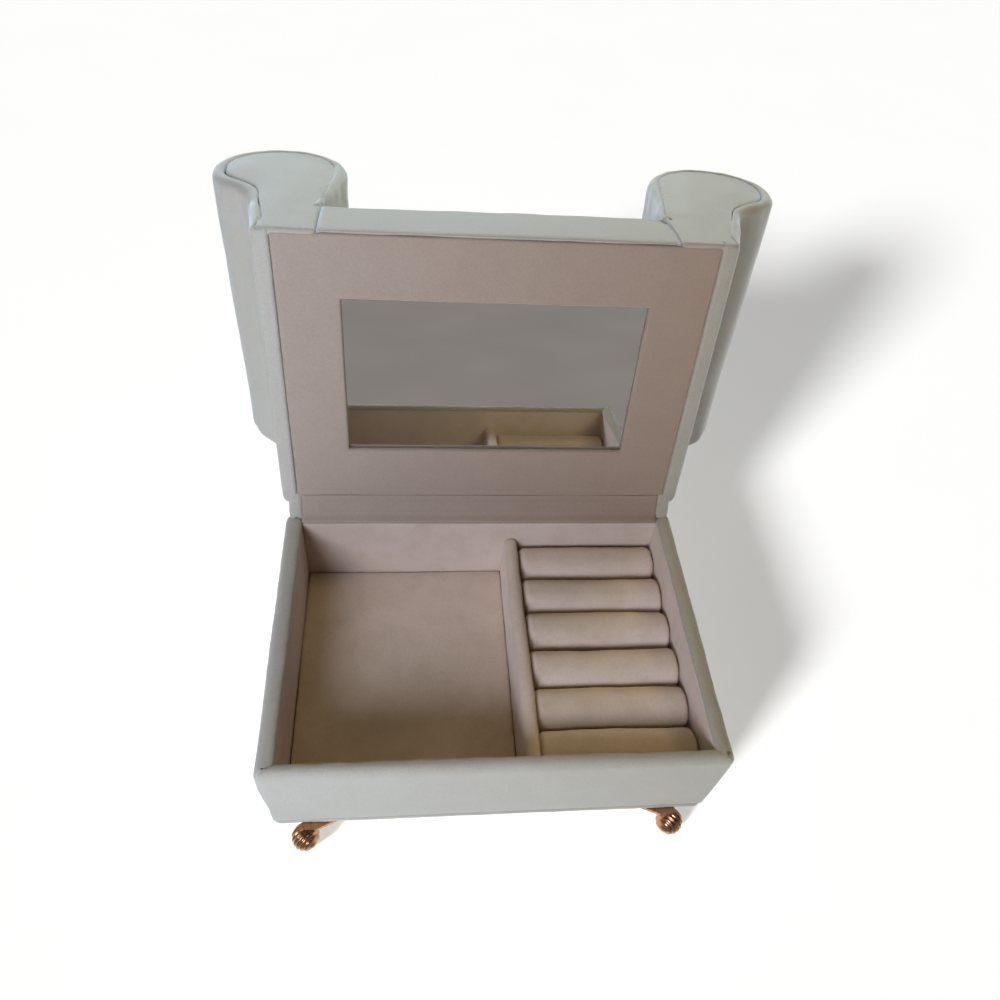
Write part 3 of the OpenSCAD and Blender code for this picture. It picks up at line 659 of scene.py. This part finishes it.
# %% The wrapped base
def build_base_velvet():
    high, paper = (box_mm(node)[1] for node in ("base_cover", "base_paper"))
    bm, start, away = rounded_rectangle(high.x, high.y, corner_round, 1.6)

    def ring_place(inset_x, inset_y, z):
        def put(v):
            return Vector((v[start].x - v[away].x * inset_x, v[start].y - v[away].y * inset_y, z))
        return put

    border = (high.x - paper.x - 0.1, high.y - paper.y - 0.1)
    rings = [(1.6, 1.6, high.z - 0.05), (0.6, 0.6, high.z - 0.15), (0.12, 0.12, high.z - 0.7), (0, 0, 1.6)]
    edge = 1.1
    rings += [(edge * (1 - math.cos(a)), edge * (1 - math.cos(a)), edge * (1 - math.sin(a)))
              for a in quarter(5)[1:]]
    rings += [(4, 4, 0.02), (8, 8, 0.0), (*border, 0.05), (*border, 0.35), (8, 8, 0.45), (2.4, 2.4, 0.6),
              (2.2, 2.2, high.z - 0.1)]
    pull_over(bm, [ring_place(*ring) for ring in [*rings, rings[0]]])
    ruffle(bm, 0.12, 9, lambda p: 1.0 if p.z < 2.4 else 0.0)
    return finish_piece(bm, "base_velvet", "case", ["base_cover"], velvet)


build_base_velvet()


# %% [markdown]
# ## Lining panels
# Each inner wall is a strip of card wrapped in microsuede and pushed down into place, so its edges are
# round and its face bows by a fraction of a millimetre. A cube with bevelled edges, cut into a fine grid,
# takes both.

# %% Lining panels
def slice_across(bm, axis, start, run, count, near):
    """Cuts the mesh square to an axis, into this many slices of a run, so that its faces can bend."""
    for k in range(1, count):
        at, normal = Vector((0, 0, 0)), Vector((0, 0, 0))
        at[axis], normal[axis] = start + run * k / count, 1
        bmesh.ops.bisect_plane(bm, geom=bm.verts[:] + bm.edges[:] + bm.faces[:], dist=near, plane_co=at,
                               plane_no=normal)


def soft_board(low, high, edge, spacing, wave, wave_size, swell=0.0):
    """A wrapped board: rounded edges, a face that rolls by wave and swells by swell, in millimetres."""
    bm = bmesh.new()
    bmesh.ops.create_cube(bm, size=1)
    size = high - low
    bmesh.ops.scale(bm, vec=size, verts=bm.verts)
    bmesh.ops.bevel(bm, geom=bm.edges[:], offset=edge, offset_type="OFFSET", segments=3, profile=0.5,
                    affect="EDGES", material=-1)
    for axis in range(3):
        slice_across(bm, axis, -size[axis] / 2 + edge, size[axis] - 2 * edge, int(size[axis] / spacing), 1e-5)
    bm.normal_update()
    if swell:
        for v in bm.verts:
            inside = min((size[i] / 2 - abs(v.co[i])) for i in range(3) if abs(v.normal[i]) < 0.5)
            v.co += v.normal * swell * ease(inside / 6)
    bmesh.ops.translate(bm, vec=(low + high) / 2, verts=bm.verts)
    ruffle(bm, wave, wave_size)
    return bm


for side in ("front", "back", "left", "right"):
    low, high = box_mm("lining_" + side)
    panel = soft_board(low, high, edge=0.35, spacing=3.0, wave=0.3, wave_size=26)
    finish_piece(panel, f"lining_{side}_suede", "case", ["lining_" + side], suede)


# %% [markdown]
# ## The floor of the large tray
# A board with a thin layer of foam, wrapped and pushed down between the walls. Its edges are drawn down,
# which leaves the fine dark line round it.

# %% The floor of the large tray
low, high = box_mm("floor_pad")
low, high = low + Vector((0.15, 0.15, 0)), high - Vector((0.15, 0.15, 0.3))
tray_floor = soft_board(low, high, edge=1.1, spacing=2.2, wave=0.35, wave_size=30, swell=0.3)
finish_piece(tray_floor, "tray_floor_suede", "case", ["floor_pad"], suede)


# %% [markdown]
# ## Divider and ring pads
# The divider is a wrapped board with a fat round top. The ring pads are six strips of foam, each rolled in
# microsuede and pressed in side by side, so that a ring can be pushed into the groove between two of them.
# A roll's cross-section is drawn as a loop, and the loop is extruded along the roll. At both ends it draws
# in, which rounds the end. No two rolls are pressed in quite alike: each bows its own way.

# %% Rolls
def build_roll(name, node, along, edge, end_round, bow):
    """A padded roll along an axis (0 = X, 1 = Y). bow(share along, height share) gives a sideways shift."""
    low, high = box_mm(node)
    across = 1 - along
    half, tall = (high[across] - low[across]) / 2, (high.z - low.z) / 2
    bm, start, away = rounded_rectangle(half, tall, edge, 1.4, 10)
    length = high[along] - low[along]
    middle = (low + high) / 2

    def ring_place(inset, run):
        def put(v):
            flat = v[start] - v[away] * inset
            p = Vector((0, 0, 0))
            p[along] = low[along] + run
            lift = (flat.y + tall) / (2 * tall)
            p[across] = middle[across] + flat.x + bow(run / length, lift)
            p.z = middle.z + flat.y
            return p
        return put

    turned = [(end_round * (1 - math.sin(a)), end_round * (1 - math.cos(a))) for a in quarter(6)]
    clear = length - 2 * end_round
    straight = [(0, run) for run in spaced(end_round, clear, int(clear / 1.5))[1:-1]]
    back = [(inset, length - run) for inset, run in reversed(turned)]
    cap = end_round + 1.2
    rings = [(cap, 0), *turned, *straight, *back, (cap, length)]
    pull_over(bm, [ring_place(*ring) for ring in rings], capped=True)
    ruffle(bm, 0.22, 9)
    ruffle(bm, 0.1, 3.2)
    return finish_piece(bm, name, "case", [node], suede)


# %% The divider and the six pads
build_roll("divider_suede", "divider", 1, edge=2.6, end_round=1.0,
           bow=lambda run, lift: 0.35 * math.sin(5.1 * run + 0.4) * lift)

bows = ((0.2, 1.1), (-0.25, 2.0), (0.5, 2.9), (-0.6, 3.0), (0.35, 2.6), (0.55, 3.1))
for i, (sway, waves) in enumerate(bows, 1):
    build_roll(f"ring_roll_{i}", f"ring_pad_{i}", 0, edge=7.2, end_round=2.4,
               bow=lambda run, lift: sway * math.sin(waves * run + 0.3) * lift)


# %% [markdown]
# ## The lining strip over the hinge
# A strip of the same microsuede is glued to the back wall and to the lid, and hides the joint from inside.
# It has to fold each time the lid shuts. Here it is made as one sheet, drawn with the lid open: its lower edge
# lies on the case, its upper edge on the lid, and the middle bends over the joint.

# %% The lining strip over the hinge
def lid_point(y, height):
    """Where a point of the shut lid lies when the lid is open, in millimetres."""
    return swing_open @ mm(0, y, height) * 1000


def build_hinge_strip():
    lining_back = box_mm("lid_lining", shut)[1].y
    inner_y, lid_edge = board_y - lining_in, 55.0
    on_case = ((inner_y + 0.45, lining_top + 0.1), (inner_y + 0.75, board_top + 0.6),
               (board_y - 1.2, board_top + 1.25), (board_y - 0.1, board_top + 2.1),
               (board_y + 0.45, board_top + 4.2))
    on_lid = ((lid_edge, 0.2), ((lining_back + lid_edge) / 2, 0.35), (lining_back + 0.15, 0.35))
    path = [Vector((0, y, z)) for y, z in on_case] + [lid_point(*point) for point in on_lid]
    bm = bmesh.new()
    bm.verts.new(path[0])
    last = bm.verts[:]
    for here, there in zip(path, path[1:]):
        for k in range(1, 5):
            step = bmesh.ops.extrude_vert_indiv(bm, verts=last)
            last = step["verts"]
            last[0].co = here.lerp(there, k / 4)
    for _ in range(3):
        bmesh.ops.smooth_vert(bm, verts=bm.verts[1:-1], factor=0.5, use_axis_x=True, use_axis_y=True,
                              use_axis_z=True)

    def column(x):
        return lambda v: Vector((x, v.co.y, v.co.z))

    pull_over(bm, [column(x) for x in spaced(-strip_half, 2 * strip_half, 100)])
    bottom, top = path[0].z, path[-1].z
    pressed = (-66, 71)
    for v in bm.verts:
        t = (v.co.z - bottom) / (top - bottom)
        # the middle of the strip is pressed into the joint, and its two ends lie flat
        band = ease((v.co.x - pressed[0]) / 1.2) * ease((pressed[1] - v.co.x) / 2)
        band *= ease((t - 0.3) / 0.1) * ease((0.78 - t) / 0.08)
        v.co.y += 0.5 * band * (1 + 0.25 * noise.noise(Vector((v.co.x / 9, 0, 0))))
        v.co.y += 0.25 * noise.noise(Vector((v.co.x / 14, t * 3, 1))) * math.sin(math.pi * t)
    bmesh.ops.recalc_face_normals(bm, faces=bm.faces)
    bmesh.ops.solidify(bm, geom=bm.faces[:], thickness=-0.5)
    # the strip takes the lid's darker suede, whose tone is painted shade for the shadow that lies in the joint
    piece = finish_piece(bm, "hinge_strip_suede", None, ["hinge_strip"], lid_suede)
    mm(*path[2])
    mm(*path[5])
    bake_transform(piece)
    run = sum((b - a).length for a, b in zip(path, path[1:]))
    print("strip", 2 * strip_half, "by", round(run, 1), "mm")


build_hinge_strip()


# %% [markdown]
# ## Velvet corners at the joint
# At both ends of the suede strip the velvet of the case runs on over the joint to the lid, as a small soft
# fold. It could be part of either cover, but on the real box it bends with the lid, so each corner is made
# as a piece of its own: a rounded outline that is extruded from the case's rim to the lid's edge.

# %% Velvet corners at the joint
side_name = {1: "right", -1: "left"}


def build_joint_corner(side):
    inner, outer = strip_half - 0.4, board_x + side_full - 1.6
    middle = side * (inner + outer) / 2
    on_case, on_lid = ((-0.9, -2.6), (-0.2, 0.9), (0.8, 3.6)), ((54.6, 0.4), (50.5, 0.9))
    path = [Vector((middle, board_y + y, board_top + z)) for y, z in on_case]
    path += [lid_point(*point) for point in on_lid]
    fullness = (1.5, 1.5, 1.3, 1.1, 0.9)
    drawn, steps = 1.9, 7
    bm, start, _ = rounded_rectangle((outer - inner) / 2, drawn, 1.8, 1.0)

    def ring(k):
        i, share = divmod(k, steps)
        j = min(i + 1, len(path) - 1)
        share = ease(share / steps)
        at = path[i].lerp(path[j], share)
        at.x = middle
        deep = (fullness[i] * (1 - share) + fullness[j] * share) / drawn
        return lambda v: at + Vector((v[start].x, v[start].y * deep, 0))

    pull_over(bm, [ring(k) for k in range((len(path) - 1) * steps + 1)])
    bmesh.ops.holes_fill(bm, edges=[e for e in bm.edges if e.is_boundary], sides=0)
    bmesh.ops.recalc_face_normals(bm, faces=bm.faces)
    ruffle(bm, 0.3, 4)
    piece = finish_piece(bm, f"joint_corner_{side_name[side]}", None, [], velvet)
    mm(*path[1])
    mm(*path[3])
    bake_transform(piece)
    return piece


for side in side_name:
    build_joint_corner(side)


# %% [markdown]
# ## Velvet over the seat
# One piece of velvet runs from under the front edge of the lid, up the front, over the foam of the seat
# and down the back to the hinge. Its section is drawn once and extruded from arm to arm. Near each arm it
# is pulled down into the seam, and the foam crowns it in the middle.

# %% The lid's sizes
lid_front = box_mm("lid_front_cover", shut)[0].y
lid_back = box_mm("lid_back_cover", shut)[1].y
lining_low, lining_high = box_mm("lid_lining", shut)
seat_high = box_mm("seat_cushion", shut)[1]
seat_half = seat_high.x
seat_edge = 26.0
print("lid from", round(lid_front, 2), "to", round(lid_back, 2), "seat top", round(seat_high.z, 2))


# %% The seat's section
def section_of_seat():
    """The seat's section from the lining's front edge round to the hinge, as points [y, height]."""
    front_lip, back_lip = lining_low.y - 0.15, lining_high.y + 0.2
    points = [(front_lip, 1.6), (front_lip - 0.1, 0.5), (front_lip - 0.5, 0.12), (lid_front + 0.3, 0.35),
              (lid_front, 1.2)]
    points += [(lid_front - 0.25 * math.sin(math.pi * k / 12), 1.2 + k * 1.55) for k in range(1, 12)]
    turn, top = 5.5, seat_edge
    points += [(lid_front + turn * (1 - math.sin(a)), top - turn + turn * math.cos(a))
               for a in reversed(quarter(9)[1:])]
    middle = (lid_front + lid_back) / 2
    flat_front, flat_back = lid_front + turn, lid_back - turn
    for y in spaced(flat_front, flat_back - flat_front, 60):
        share = abs(y - middle) / (flat_back - middle)
        points.append((y, top + (seat_high.z - top) * (1 - share ** 2.6)))
    points += [(lid_back - turn * (1 - math.sin(a)), top - turn + turn * math.cos(a))
               for a in quarter(9)[1:]]
    points += [(lid_back, top - turn - k * (top - turn - 2.6) / 12) for k in range(1, 13)]
    points += [(lid_back - 0.3, 1.6), (lid_back - 0.9, 1.15), (back_lip + 1, 1.0), (back_lip, 1.2),
               (back_lip, 2.0)]
    return points


# %% Velvet over the seat
def build_seat():
    section = section_of_seat()
    bm = bmesh.new()
    run = [bm.verts.new((-seat_half, y, z)) for y, z in section]
    bm.edges.ensure_lookup_table()
    for pair in zip(run, run[1:]):
        bm.edges.new(pair)
    start, away = keep_start(bm, lambda v: beside_run(v, Vector((0, 0, 12))))

    def column(x):
        near = seat_half - abs(x)

        def put(v):
            # the front stays straight beside the arms, and the back lip keeps behind the lining
            on_top = ease((v[start].y - lid_front) / 16) * ease((v[start].z - 4) / 8)
            sink = 0.25 * hump(near, 0.7) + on_top * (1.6 * hump(near, 1.6) + 2.0 * hump(near, 11))
            return Vector((x, v[start].y, v[start].z)) - v[away] * sink
        return put

    pull_over(bm, [column(x) for x in spaced(-seat_half, 2 * seat_half, 84)])
    bmesh.ops.recalc_face_normals(bm, faces=bm.faces)

    def pull(p):
        """More waves near the arms and along the drawn edges, and none where the velvet lies on board."""
        near = seat_half - abs(p.x)
        return ease((p.z - 16) / 6) * (0.3 + 0.9 * hump(near, 9))

    ruffle(bm, 1.1, 17, pull)
    ruffle(bm, 0.5, 5.5, lambda p: ease((p.z - 18) / 5) * hump(seat_half - abs(p.x), 8), (2.2, 1, 1))
    ruffle(bm, 0.25, 20)
    return finish_piece(bm, "seat_velvet", "lid", ["seat_cushion", "lid_front_cover", "lid_back_cover"],
                        velvet, thick=0.7)


build_seat()


# %% [markdown]
# ## The lid lining
# A board with a window, wrapped in microsuede from the front, so all its edges are round and the mirror
# shows through the window a little way down. A grid of nine faces loses its middle one, is extruded to
# the board's thickness, and has both rims bevelled round.

# %% The lid lining
def build_lid_lining():
    low, high = lining_low, lining_high
    glass_low, glass_high = box_mm("mirror", shut)
    lap, edge = 4.0, 0.8
    window_low = glass_low + Vector((lap, lap, 0))
    window_high = glass_high - Vector((lap, lap, 0))
    bm = bmesh.new()
    bmesh.ops.create_grid(bm, x_segments=3, y_segments=3, size=1)
    for v in bm.verts:            # the grid's four columns and rows, at -1, -1/3, 1/3 and 1
        for axis in (0, 1):
            lines = (low[axis], window_low[axis], window_high[axis], high[axis])
            v.co[axis] = lines[round((v.co[axis] + 1) * 1.5)]
    middle = min(bm.faces, key=lambda f: (f.calc_center_median() - (window_low + window_high) / 2).length)
    bmesh.ops.delete(bm, geom=[middle], context="FACES")
    made = bmesh.ops.extrude_face_region(bm, geom=bm.faces[:])["geom"]
    bmesh.ops.translate(bm, vec=(0, 0, high.z), verts=verts_of(made))
    bmesh.ops.recalc_face_normals(bm, faces=bm.faces)
    rims = [e for e in bm.edges if abs(e.calc_face_angle(0)) > 1.2]
    bmesh.ops.bevel(bm, geom=rims, offset=edge, offset_type="OFFSET", segments=4, profile=0.5,
                    affect="EDGES", material=-1)
    for axis in (0, 1):
        width = high[axis] - low[axis]
        slice_across(bm, axis, low[axis], width, int(width / 2.4), 1e-4)
    ruffle(bm, 0.22, 24, lambda p: 1.0 if p.z < 1 else 0.0)
    return finish_piece(bm, "lid_lining_suede", "lid", ["lid_lining"], lid_suede)


build_lid_lining()


# %% [markdown]
# ## The rolled arms
# An arm is a sheet of card bent into a scroll, padded, and covered in velvet that is pulled over both ends
# and tucked behind an end panel. Its outline is drawn as an upholsterer's template is: a straight line
# that leans out, a hollow, and a big round roll. A vertex is extruded for the straight parts and spun for
# the round ones. The same template cut a few millimetres smaller gives the outline of the end panel, and
# going from one to the other rounds the arm's ends. The CAD gives both arms the same stand. On the real box
# the left one was pulled in by hand and stands more upright, so its outline is turned about its foot.

# %% An arm's outline
roll_radius = 24.0
hollow_radius = 12.0
arm_inner = seat_half + 0.2
arm_outer = 80.5
lining_edge = lining_high.x + 0.1
arms = {}
for side, upright in ((1, 0.6), (-1, 9.5)):
    name = side_name[side]
    low, high = box_mm("arm_cover_" + name, shut)
    foot = Vector((arm_outer, 0, 0))
    reach = Vector((max(high.x, -low.x) - roll_radius, 0, high.z - roll_radius)) - foot
    reach.rotate(Matrix.Rotation(-math.radians(upright), 3, "Y"))
    arms[side] = {"lean": math.radians(19.6 - upright), "roll": foot + reach}
    print(name, "arm: roll's centre", [round(c, 1) for c in arms[side]["roll"]])
# the velvet's way from its tuck beside the lining, over a small lip, under the arm to its outer side:
# shares of the width there, and heights
under_arm = ((0, 1.9), (0, 0.6), (0.05, 0.0), (0.15, -0.25), (0.3, -0.15), (0.5, 0.1), (0.85, 0.1),
             (1, 0.85))


def arm_run(inset, side):
    """The arm's outline as a run of edges in the XZ plane, drawn in by inset."""
    lean, roll_centre = arms[side]["lean"], arms[side]["roll"]
    up, out = Vector((math.sin(lean), 0, math.cos(lean))), Vector((math.cos(lean), 0, -math.sin(lean)))
    foot = Vector((arm_outer - inset, 0, 0))
    radius, hollow = roll_radius - inset, hollow_radius + inset
    reach = roll_centre - foot
    run = reach.dot(up) - math.sqrt((radius + hollow) ** 2 - (reach.dot(out) - hollow) ** 2)
    hollow_centre = foot + run * up + hollow * out
    meet = math.atan2(roll_centre.z - hollow_centre.z, roll_centre.x - hollow_centre.x)
    seat = Vector((arm_inner + min(inset, 1.0), 0, seat_edge))
    slope = roll_centre - seat
    end = math.atan2(slope.z, slope.x) + math.asin(radius / slope.length) + math.pi / 2
    bm = bmesh.new()

    def on(target, steps):
        bm.verts.ensure_lookup_table()
        begin = bm.verts[-1].co.copy()
        for k in range(1, steps + 1):
            bm.verts.ensure_lookup_table()
            made = bmesh.ops.extrude_vert_indiv(bm, verts=[bm.verts[-1]])
            made["verts"][0].co = begin.lerp(target, k / steps)

    def turn(centre, angle, steps):
        bm.verts.ensure_lookup_table()
        bmesh.ops.spin(bm, geom=[bm.verts[-1]], cent=centre, axis=(0, -1, 0), dvec=(0, 0, 0), angle=angle,
                       steps=steps, use_merge=False, use_duplicate=False)

    lead = [Vector((lining_edge + share * (arm_outer - lining_edge), 0, z)) for share, z in under_arm]
    bm.verts.new(lead[0])
    for point in lead[1:]:
        on(point, 1)
    on(foot + up * 2.2, 1)
    on(foot + run * up, 22)
    turn(hollow_centre, meet - (math.pi - lean), 10)
    turn(roll_centre, end - (meet - math.pi), 76)
    on(seat + Vector((0, 0, 0.6)), 24)
    on(seat + Vector((0.6, 0, -1.6)), 2)
    on(seat + Vector((1.0, 0, -3.6)), 2)
    bm.verts.ensure_lookup_table()
    return bm


def arm_template(side):
    """The outline with its layers. Near the foot the arm is thin, so little of it can be drawn in."""
    full = 4.4
    inner = arm_run(full, side)
    places = [v.co.copy() for v in inner.verts]
    inner.free()

    def outward(v):
        if v.index < len(under_arm):
            share = under_arm[v.index][0]
            return Vector((0.3 * share ** 2, 0, -0.28 + 0.14 * share ** 3))
        return (v.co - places[v.index]) / full * (0.32 + 0.68 * ease(v.co.z / 12))

    bm = arm_run(0, side)
    return bm, *keep_start(bm, outward)


# %% The arms' velvet
def build_arm(side):
    """The velvet of one arm, drawn on the right and mirrored for the left."""
    name = side_name[side]
    edge, lip = 3.4, 4.4
    bm, start, away = arm_template(side)

    def ring_place(inset, y):
        return lambda v: Vector((v[start].x, y, v[start].z)) - v[away] * inset

    front = [(lip, lid_front + 3.0), (lip, lid_front + 1.4), (lip - 0.3, lid_front + 0.5)]
    front += [(edge * (1 - math.sin(a)), lid_front + edge * (1 - math.cos(a))) for a in quarter(6)]
    back = [(inset, lid_front + lid_back - y) for inset, y in reversed(front)]
    straight = [(0, y) for y in spaced(lid_front + edge, lid_back - lid_front - 2 * edge, 68)[1:-1]]
    pull_over(bm, [ring_place(*ring) for ring in front + straight + back])
    bmesh.ops.recalc_face_normals(bm, faces=bm.faces)

    def slack(p):
        """The velvet is loosest in the hollow under the roll, and tight over its top."""
        return (0.3 + 0.9 * hump(p.z - 33, 12)) * ease((p.z - 1) / 6)

    ruffle(bm, 0.8, 19 if side > 0 else 17, slack)
    ruffle(bm, 0.35, 6, lambda p: (0.25 + hump(abs(p.y) - 52, 5)) * ease((p.z - 1) / 6), (1, 2.2, 1))
    for v in bm.verts:      # the roll is fuller at its front end than at the hinge
        outer = ease((v.co.z - 20) / 30) * ease((v.co.x - 70) / 25)
        v.co.x += outer * (0.9 - 2.4 * ease((v.co.y - lid_front) / (lid_back - lid_front)))
    bmesh.ops.scale(bm, vec=(side, 1, 1), verts=bm.verts)
    return finish_piece(bm, f"arm_velvet_{name}", "lid", [f"arm_cover_{name}", f"arm_core_{name}"],
                        velvet, thick=0.8)


for side in side_name:
    build_arm(side)


# %% [markdown]
# ## The arms' end panels
# A panel is card with a little foam, covered in velvet and pushed in behind the rounded edge, so a deep
# crease runs round it and its face swells in the middle. The template's outline is filled and extruded to
# a plate. A voxel remesh gives the plate even faces, and each of them is then raised by its distance from
# the crease, which a tree of the outline's points finds quickly.

# %% The arms' end panels
def remeshed(bm, voxel):
    """The same solid with even faces about voxel across."""
    rough = bpy.data.meshes.new("rough")
    bm.to_mesh(rough)
    bm.free()
    holder = bpy.data.objects.new("rough", rough)
    scene.collection.objects.link(holder)
    remesh = holder.modifiers.new("even", "REMESH")
    remesh.mode = "VOXEL"
    remesh.voxel_size = voxel
    even = bpy.data.meshes.new_from_object(holder.evaluated_get(bpy.context.evaluated_depsgraph_get()))
    made = bmesh.new()
    made.from_mesh(even)
    bpy.data.objects.remove(holder)
    return made


# %% An end panel
def build_panel(side, end):
    """The panel at the front (end = -1) or at the hinge end (end = 1) of an arm."""
    # the back panel stops short of the lining strip, which folds in under it
    name, face, deep, swell, bottom = (("front_", lid_front, 1.5, 1.3, 0.12) if end < 0 else
                                       ("back_", lid_back, 0.9, 0.2, 0.95))
    name += side_name[side]
    roll_centre = arms[side]["roll"]
    seam, crease_in, plate_thick = arm_inner + 0.1, 3.9, 2.5
    bm, start, away = arm_template(side)
    for v in bm.verts:
        v.co = v[start] - v[away] * crease_in
    crease = kdtree.KDTree(len(bm.verts))
    for i, v in enumerate(bm.verts):        # the run under the arm has no crease, so it goes far away
        crease.insert(v.co if i >= len(under_arm) else Vector((500, 0, 0)), i)
    crease.balance()
    bm.verts.ensure_lookup_table()
    for v in bm.verts[-4:]:                 # the run's two ends meet in a straight seam beside the seat
        v.co.x = seam
    for v in bm.verts[:2]:
        v.co = Vector((seam, 0, bottom))
    for v in bm.verts[2:6]:
        v.co.z = bottom
    bm.edges.new((bm.verts[-1], bm.verts[0]))
    bmesh.ops.remove_doubles(bm, verts=bm.verts, dist=0.01)
    plate = bmesh.ops.contextual_create(bm, geom=bm.edges[:])["faces"]
    made = bmesh.ops.extrude_face_region(bm, geom=plate)["geom"]
    bmesh.ops.translate(bm, vec=(0, plate_thick, 0), verts=verts_of(made))
    bmesh.ops.recalc_face_normals(bm, faces=bm.faces)
    bm = remeshed(bm, 0.75)
    for v in bm.verts:
        if v.co.y > 1.5:            # the glued face, which is never seen
            continue
        x, z = v.co.x, v.co.z
        d = crease.find((x, 0, z))[2]
        # the crease is deep at the outside of the roll, shallow in the hollow and over the roll's top
        outside = ease((x - roll_centre.x) / 14) * ease((z - 24) / 12) * ease((70 - z) / 14)
        foot = hump(z - 12, 9) * ease((x - 70) / 6)
        sunk = deep * (0.22 + 0.78 * outside + 0.35 * foot) * math.exp(-d / 0.9)
        sunk += 0.3 * math.exp(-max(x - seam, 0) / 0.4) + 0.5 * math.exp(-max(z - bottom, 0) / 0.5)
        full = swell * ease(d / 11) * ease((z - 10) / 18)
        pucker = 0.14 * noise.noise(Vector((x / 2.2, side * 5, z / 2.2))) * hump(d - 1.5, 2.5)
        wave = 0.35 * noise.noise(Vector((x / 16, side * 7, z / 16))) * ease(d / 5)
        v.co.y += sunk - full + pucker + wave
    bmesh.ops.smooth_vert(bm, verts=bm.verts, factor=0.5, use_axis_x=True, use_axis_y=True, use_axis_z=True)
    bmesh.ops.scale(bm, vec=(side, -end, 1), verts=bm.verts)
    bmesh.ops.translate(bm, vec=(0, face, 0), verts=bm.verts)
    return finish_piece(bm, f"arm_panel_{name}", "lid", [f"arm_{name}"], velvet)


for side in side_name:
    for end in (-1, 1):
        build_panel(side, end)


# %% [markdown]
# ## Ribbed feet
# A foot is one casting: a flat plate, a short leg and a ball whose ribs run side by side along the corner's
# diagonal. The CAD's plate and leg are right, so they are copied and only the ball is made anew: a sphere
# whose poles lie across the diagonal, drawn in by rings as on a lathe, and cut flat where it stands.

# %% Ribbed feet
ball_x = 67.3               # a ball's middle, from the middle of the box
cad_radius, ball_radius = 4.4, 5.0
ball_flat = 0.25            # how much of a ball is cut away where it stands
rib_pitch, rib_depth = 1.5, 0.45


def build_foot(sx, sy, node):
    low, high = box_mm(node)
    reach_y = max(abs(low.y), abs(high.y))
    centre = Vector((sx * ball_x, sy * (reach_y - cad_radius), low.z + cad_radius - ball_flat))
    bm = bmesh.new()
    bm.from_mesh(nodes[node].data)
    bmesh.ops.scale(bm, vec=(1000, 1000, 1000), verts=bm.verts)
    bmesh.ops.remove_doubles(bm, verts=bm.verts, dist=0.002)
    ball = [f for f in bm.faces if all((v.co - centre).length < cad_radius + 0.05 for v in f.verts)]
    bmesh.ops.delete(bm, geom=ball, context="FACES")
    bmesh.ops.holes_fill(bm, edges=[e for e in bm.edges if e.is_boundary], sides=0)
    for e in bm.edges:
        e.smooth = e.calc_face_angle(0) < 0.6
    before = len(bm.faces)
    centre.z += ball_radius - cad_radius
    made = bmesh.ops.create_uvsphere(bm, u_segments=48, v_segments=120, radius=ball_radius)["verts"]
    for v in made:
        girth = math.hypot(v.co.x, v.co.y)
        groove = (0.5 + 0.5 * math.cos(2 * math.pi * v.co.z / rib_pitch)) ** 1.3 * ease(girth / 2)
        v.co.x, v.co.y = (c * (1 - rib_depth * groove / max(girth, 1)) for c in v.co.xy)
    across = Vector((sx, -sy, 0)).to_track_quat("Z", "Y").to_matrix().to_4x4()
    bmesh.ops.transform(bm, matrix=Matrix.Translation(centre) @ across, verts=made)
    inside = set(made)
    part = made + [g for g in bm.edges[:] + bm.faces[:] if all(v in inside for v in g.verts)]
    cut = bmesh.ops.bisect_plane(bm, geom=part, plane_co=(0, 0, low.z), plane_no=(0, 0, -1),
                                 clear_outer=True)
    bmesh.ops.holes_fill(bm, edges=edges_of(cut["geom_cut"]), sides=0)
    print(node, "ball at", [round(c, 2) for c in centre], "plate faces", before)
    return finish_piece(bm, "ribbed_" + node, "case", [node], rose_gold)


for sy, end in ((-1, "front"), (1, "back")):
    for sx in (-1, 1):
        build_foot(sx, sy, f"foot_{end}_{side_name[sx]}")


# %% [markdown]
# ## Hard pieces
# Boards, card, screws, hinges and glass keep their CAD shape and take their finish. The solids that the cloth
# has replaced take theirs too, so no node is left bare.

# %% Hard pieces
finishes = {"board": fibreboard, "card": grey_card, "paper": backing_paper, "rose_gold": rose_gold,
            "mirror_glass": mirror_silver, "velvet": velvet, "velvet_cushion": velvet, "lining": suede,
            "ring_foam": suede}
for part in frame["record"]["subparts"]:
    piece = nodes[part["node"]]
    piece.data.materials.clear()
    piece.data.materials.append(finishes[part["material_slot"]])
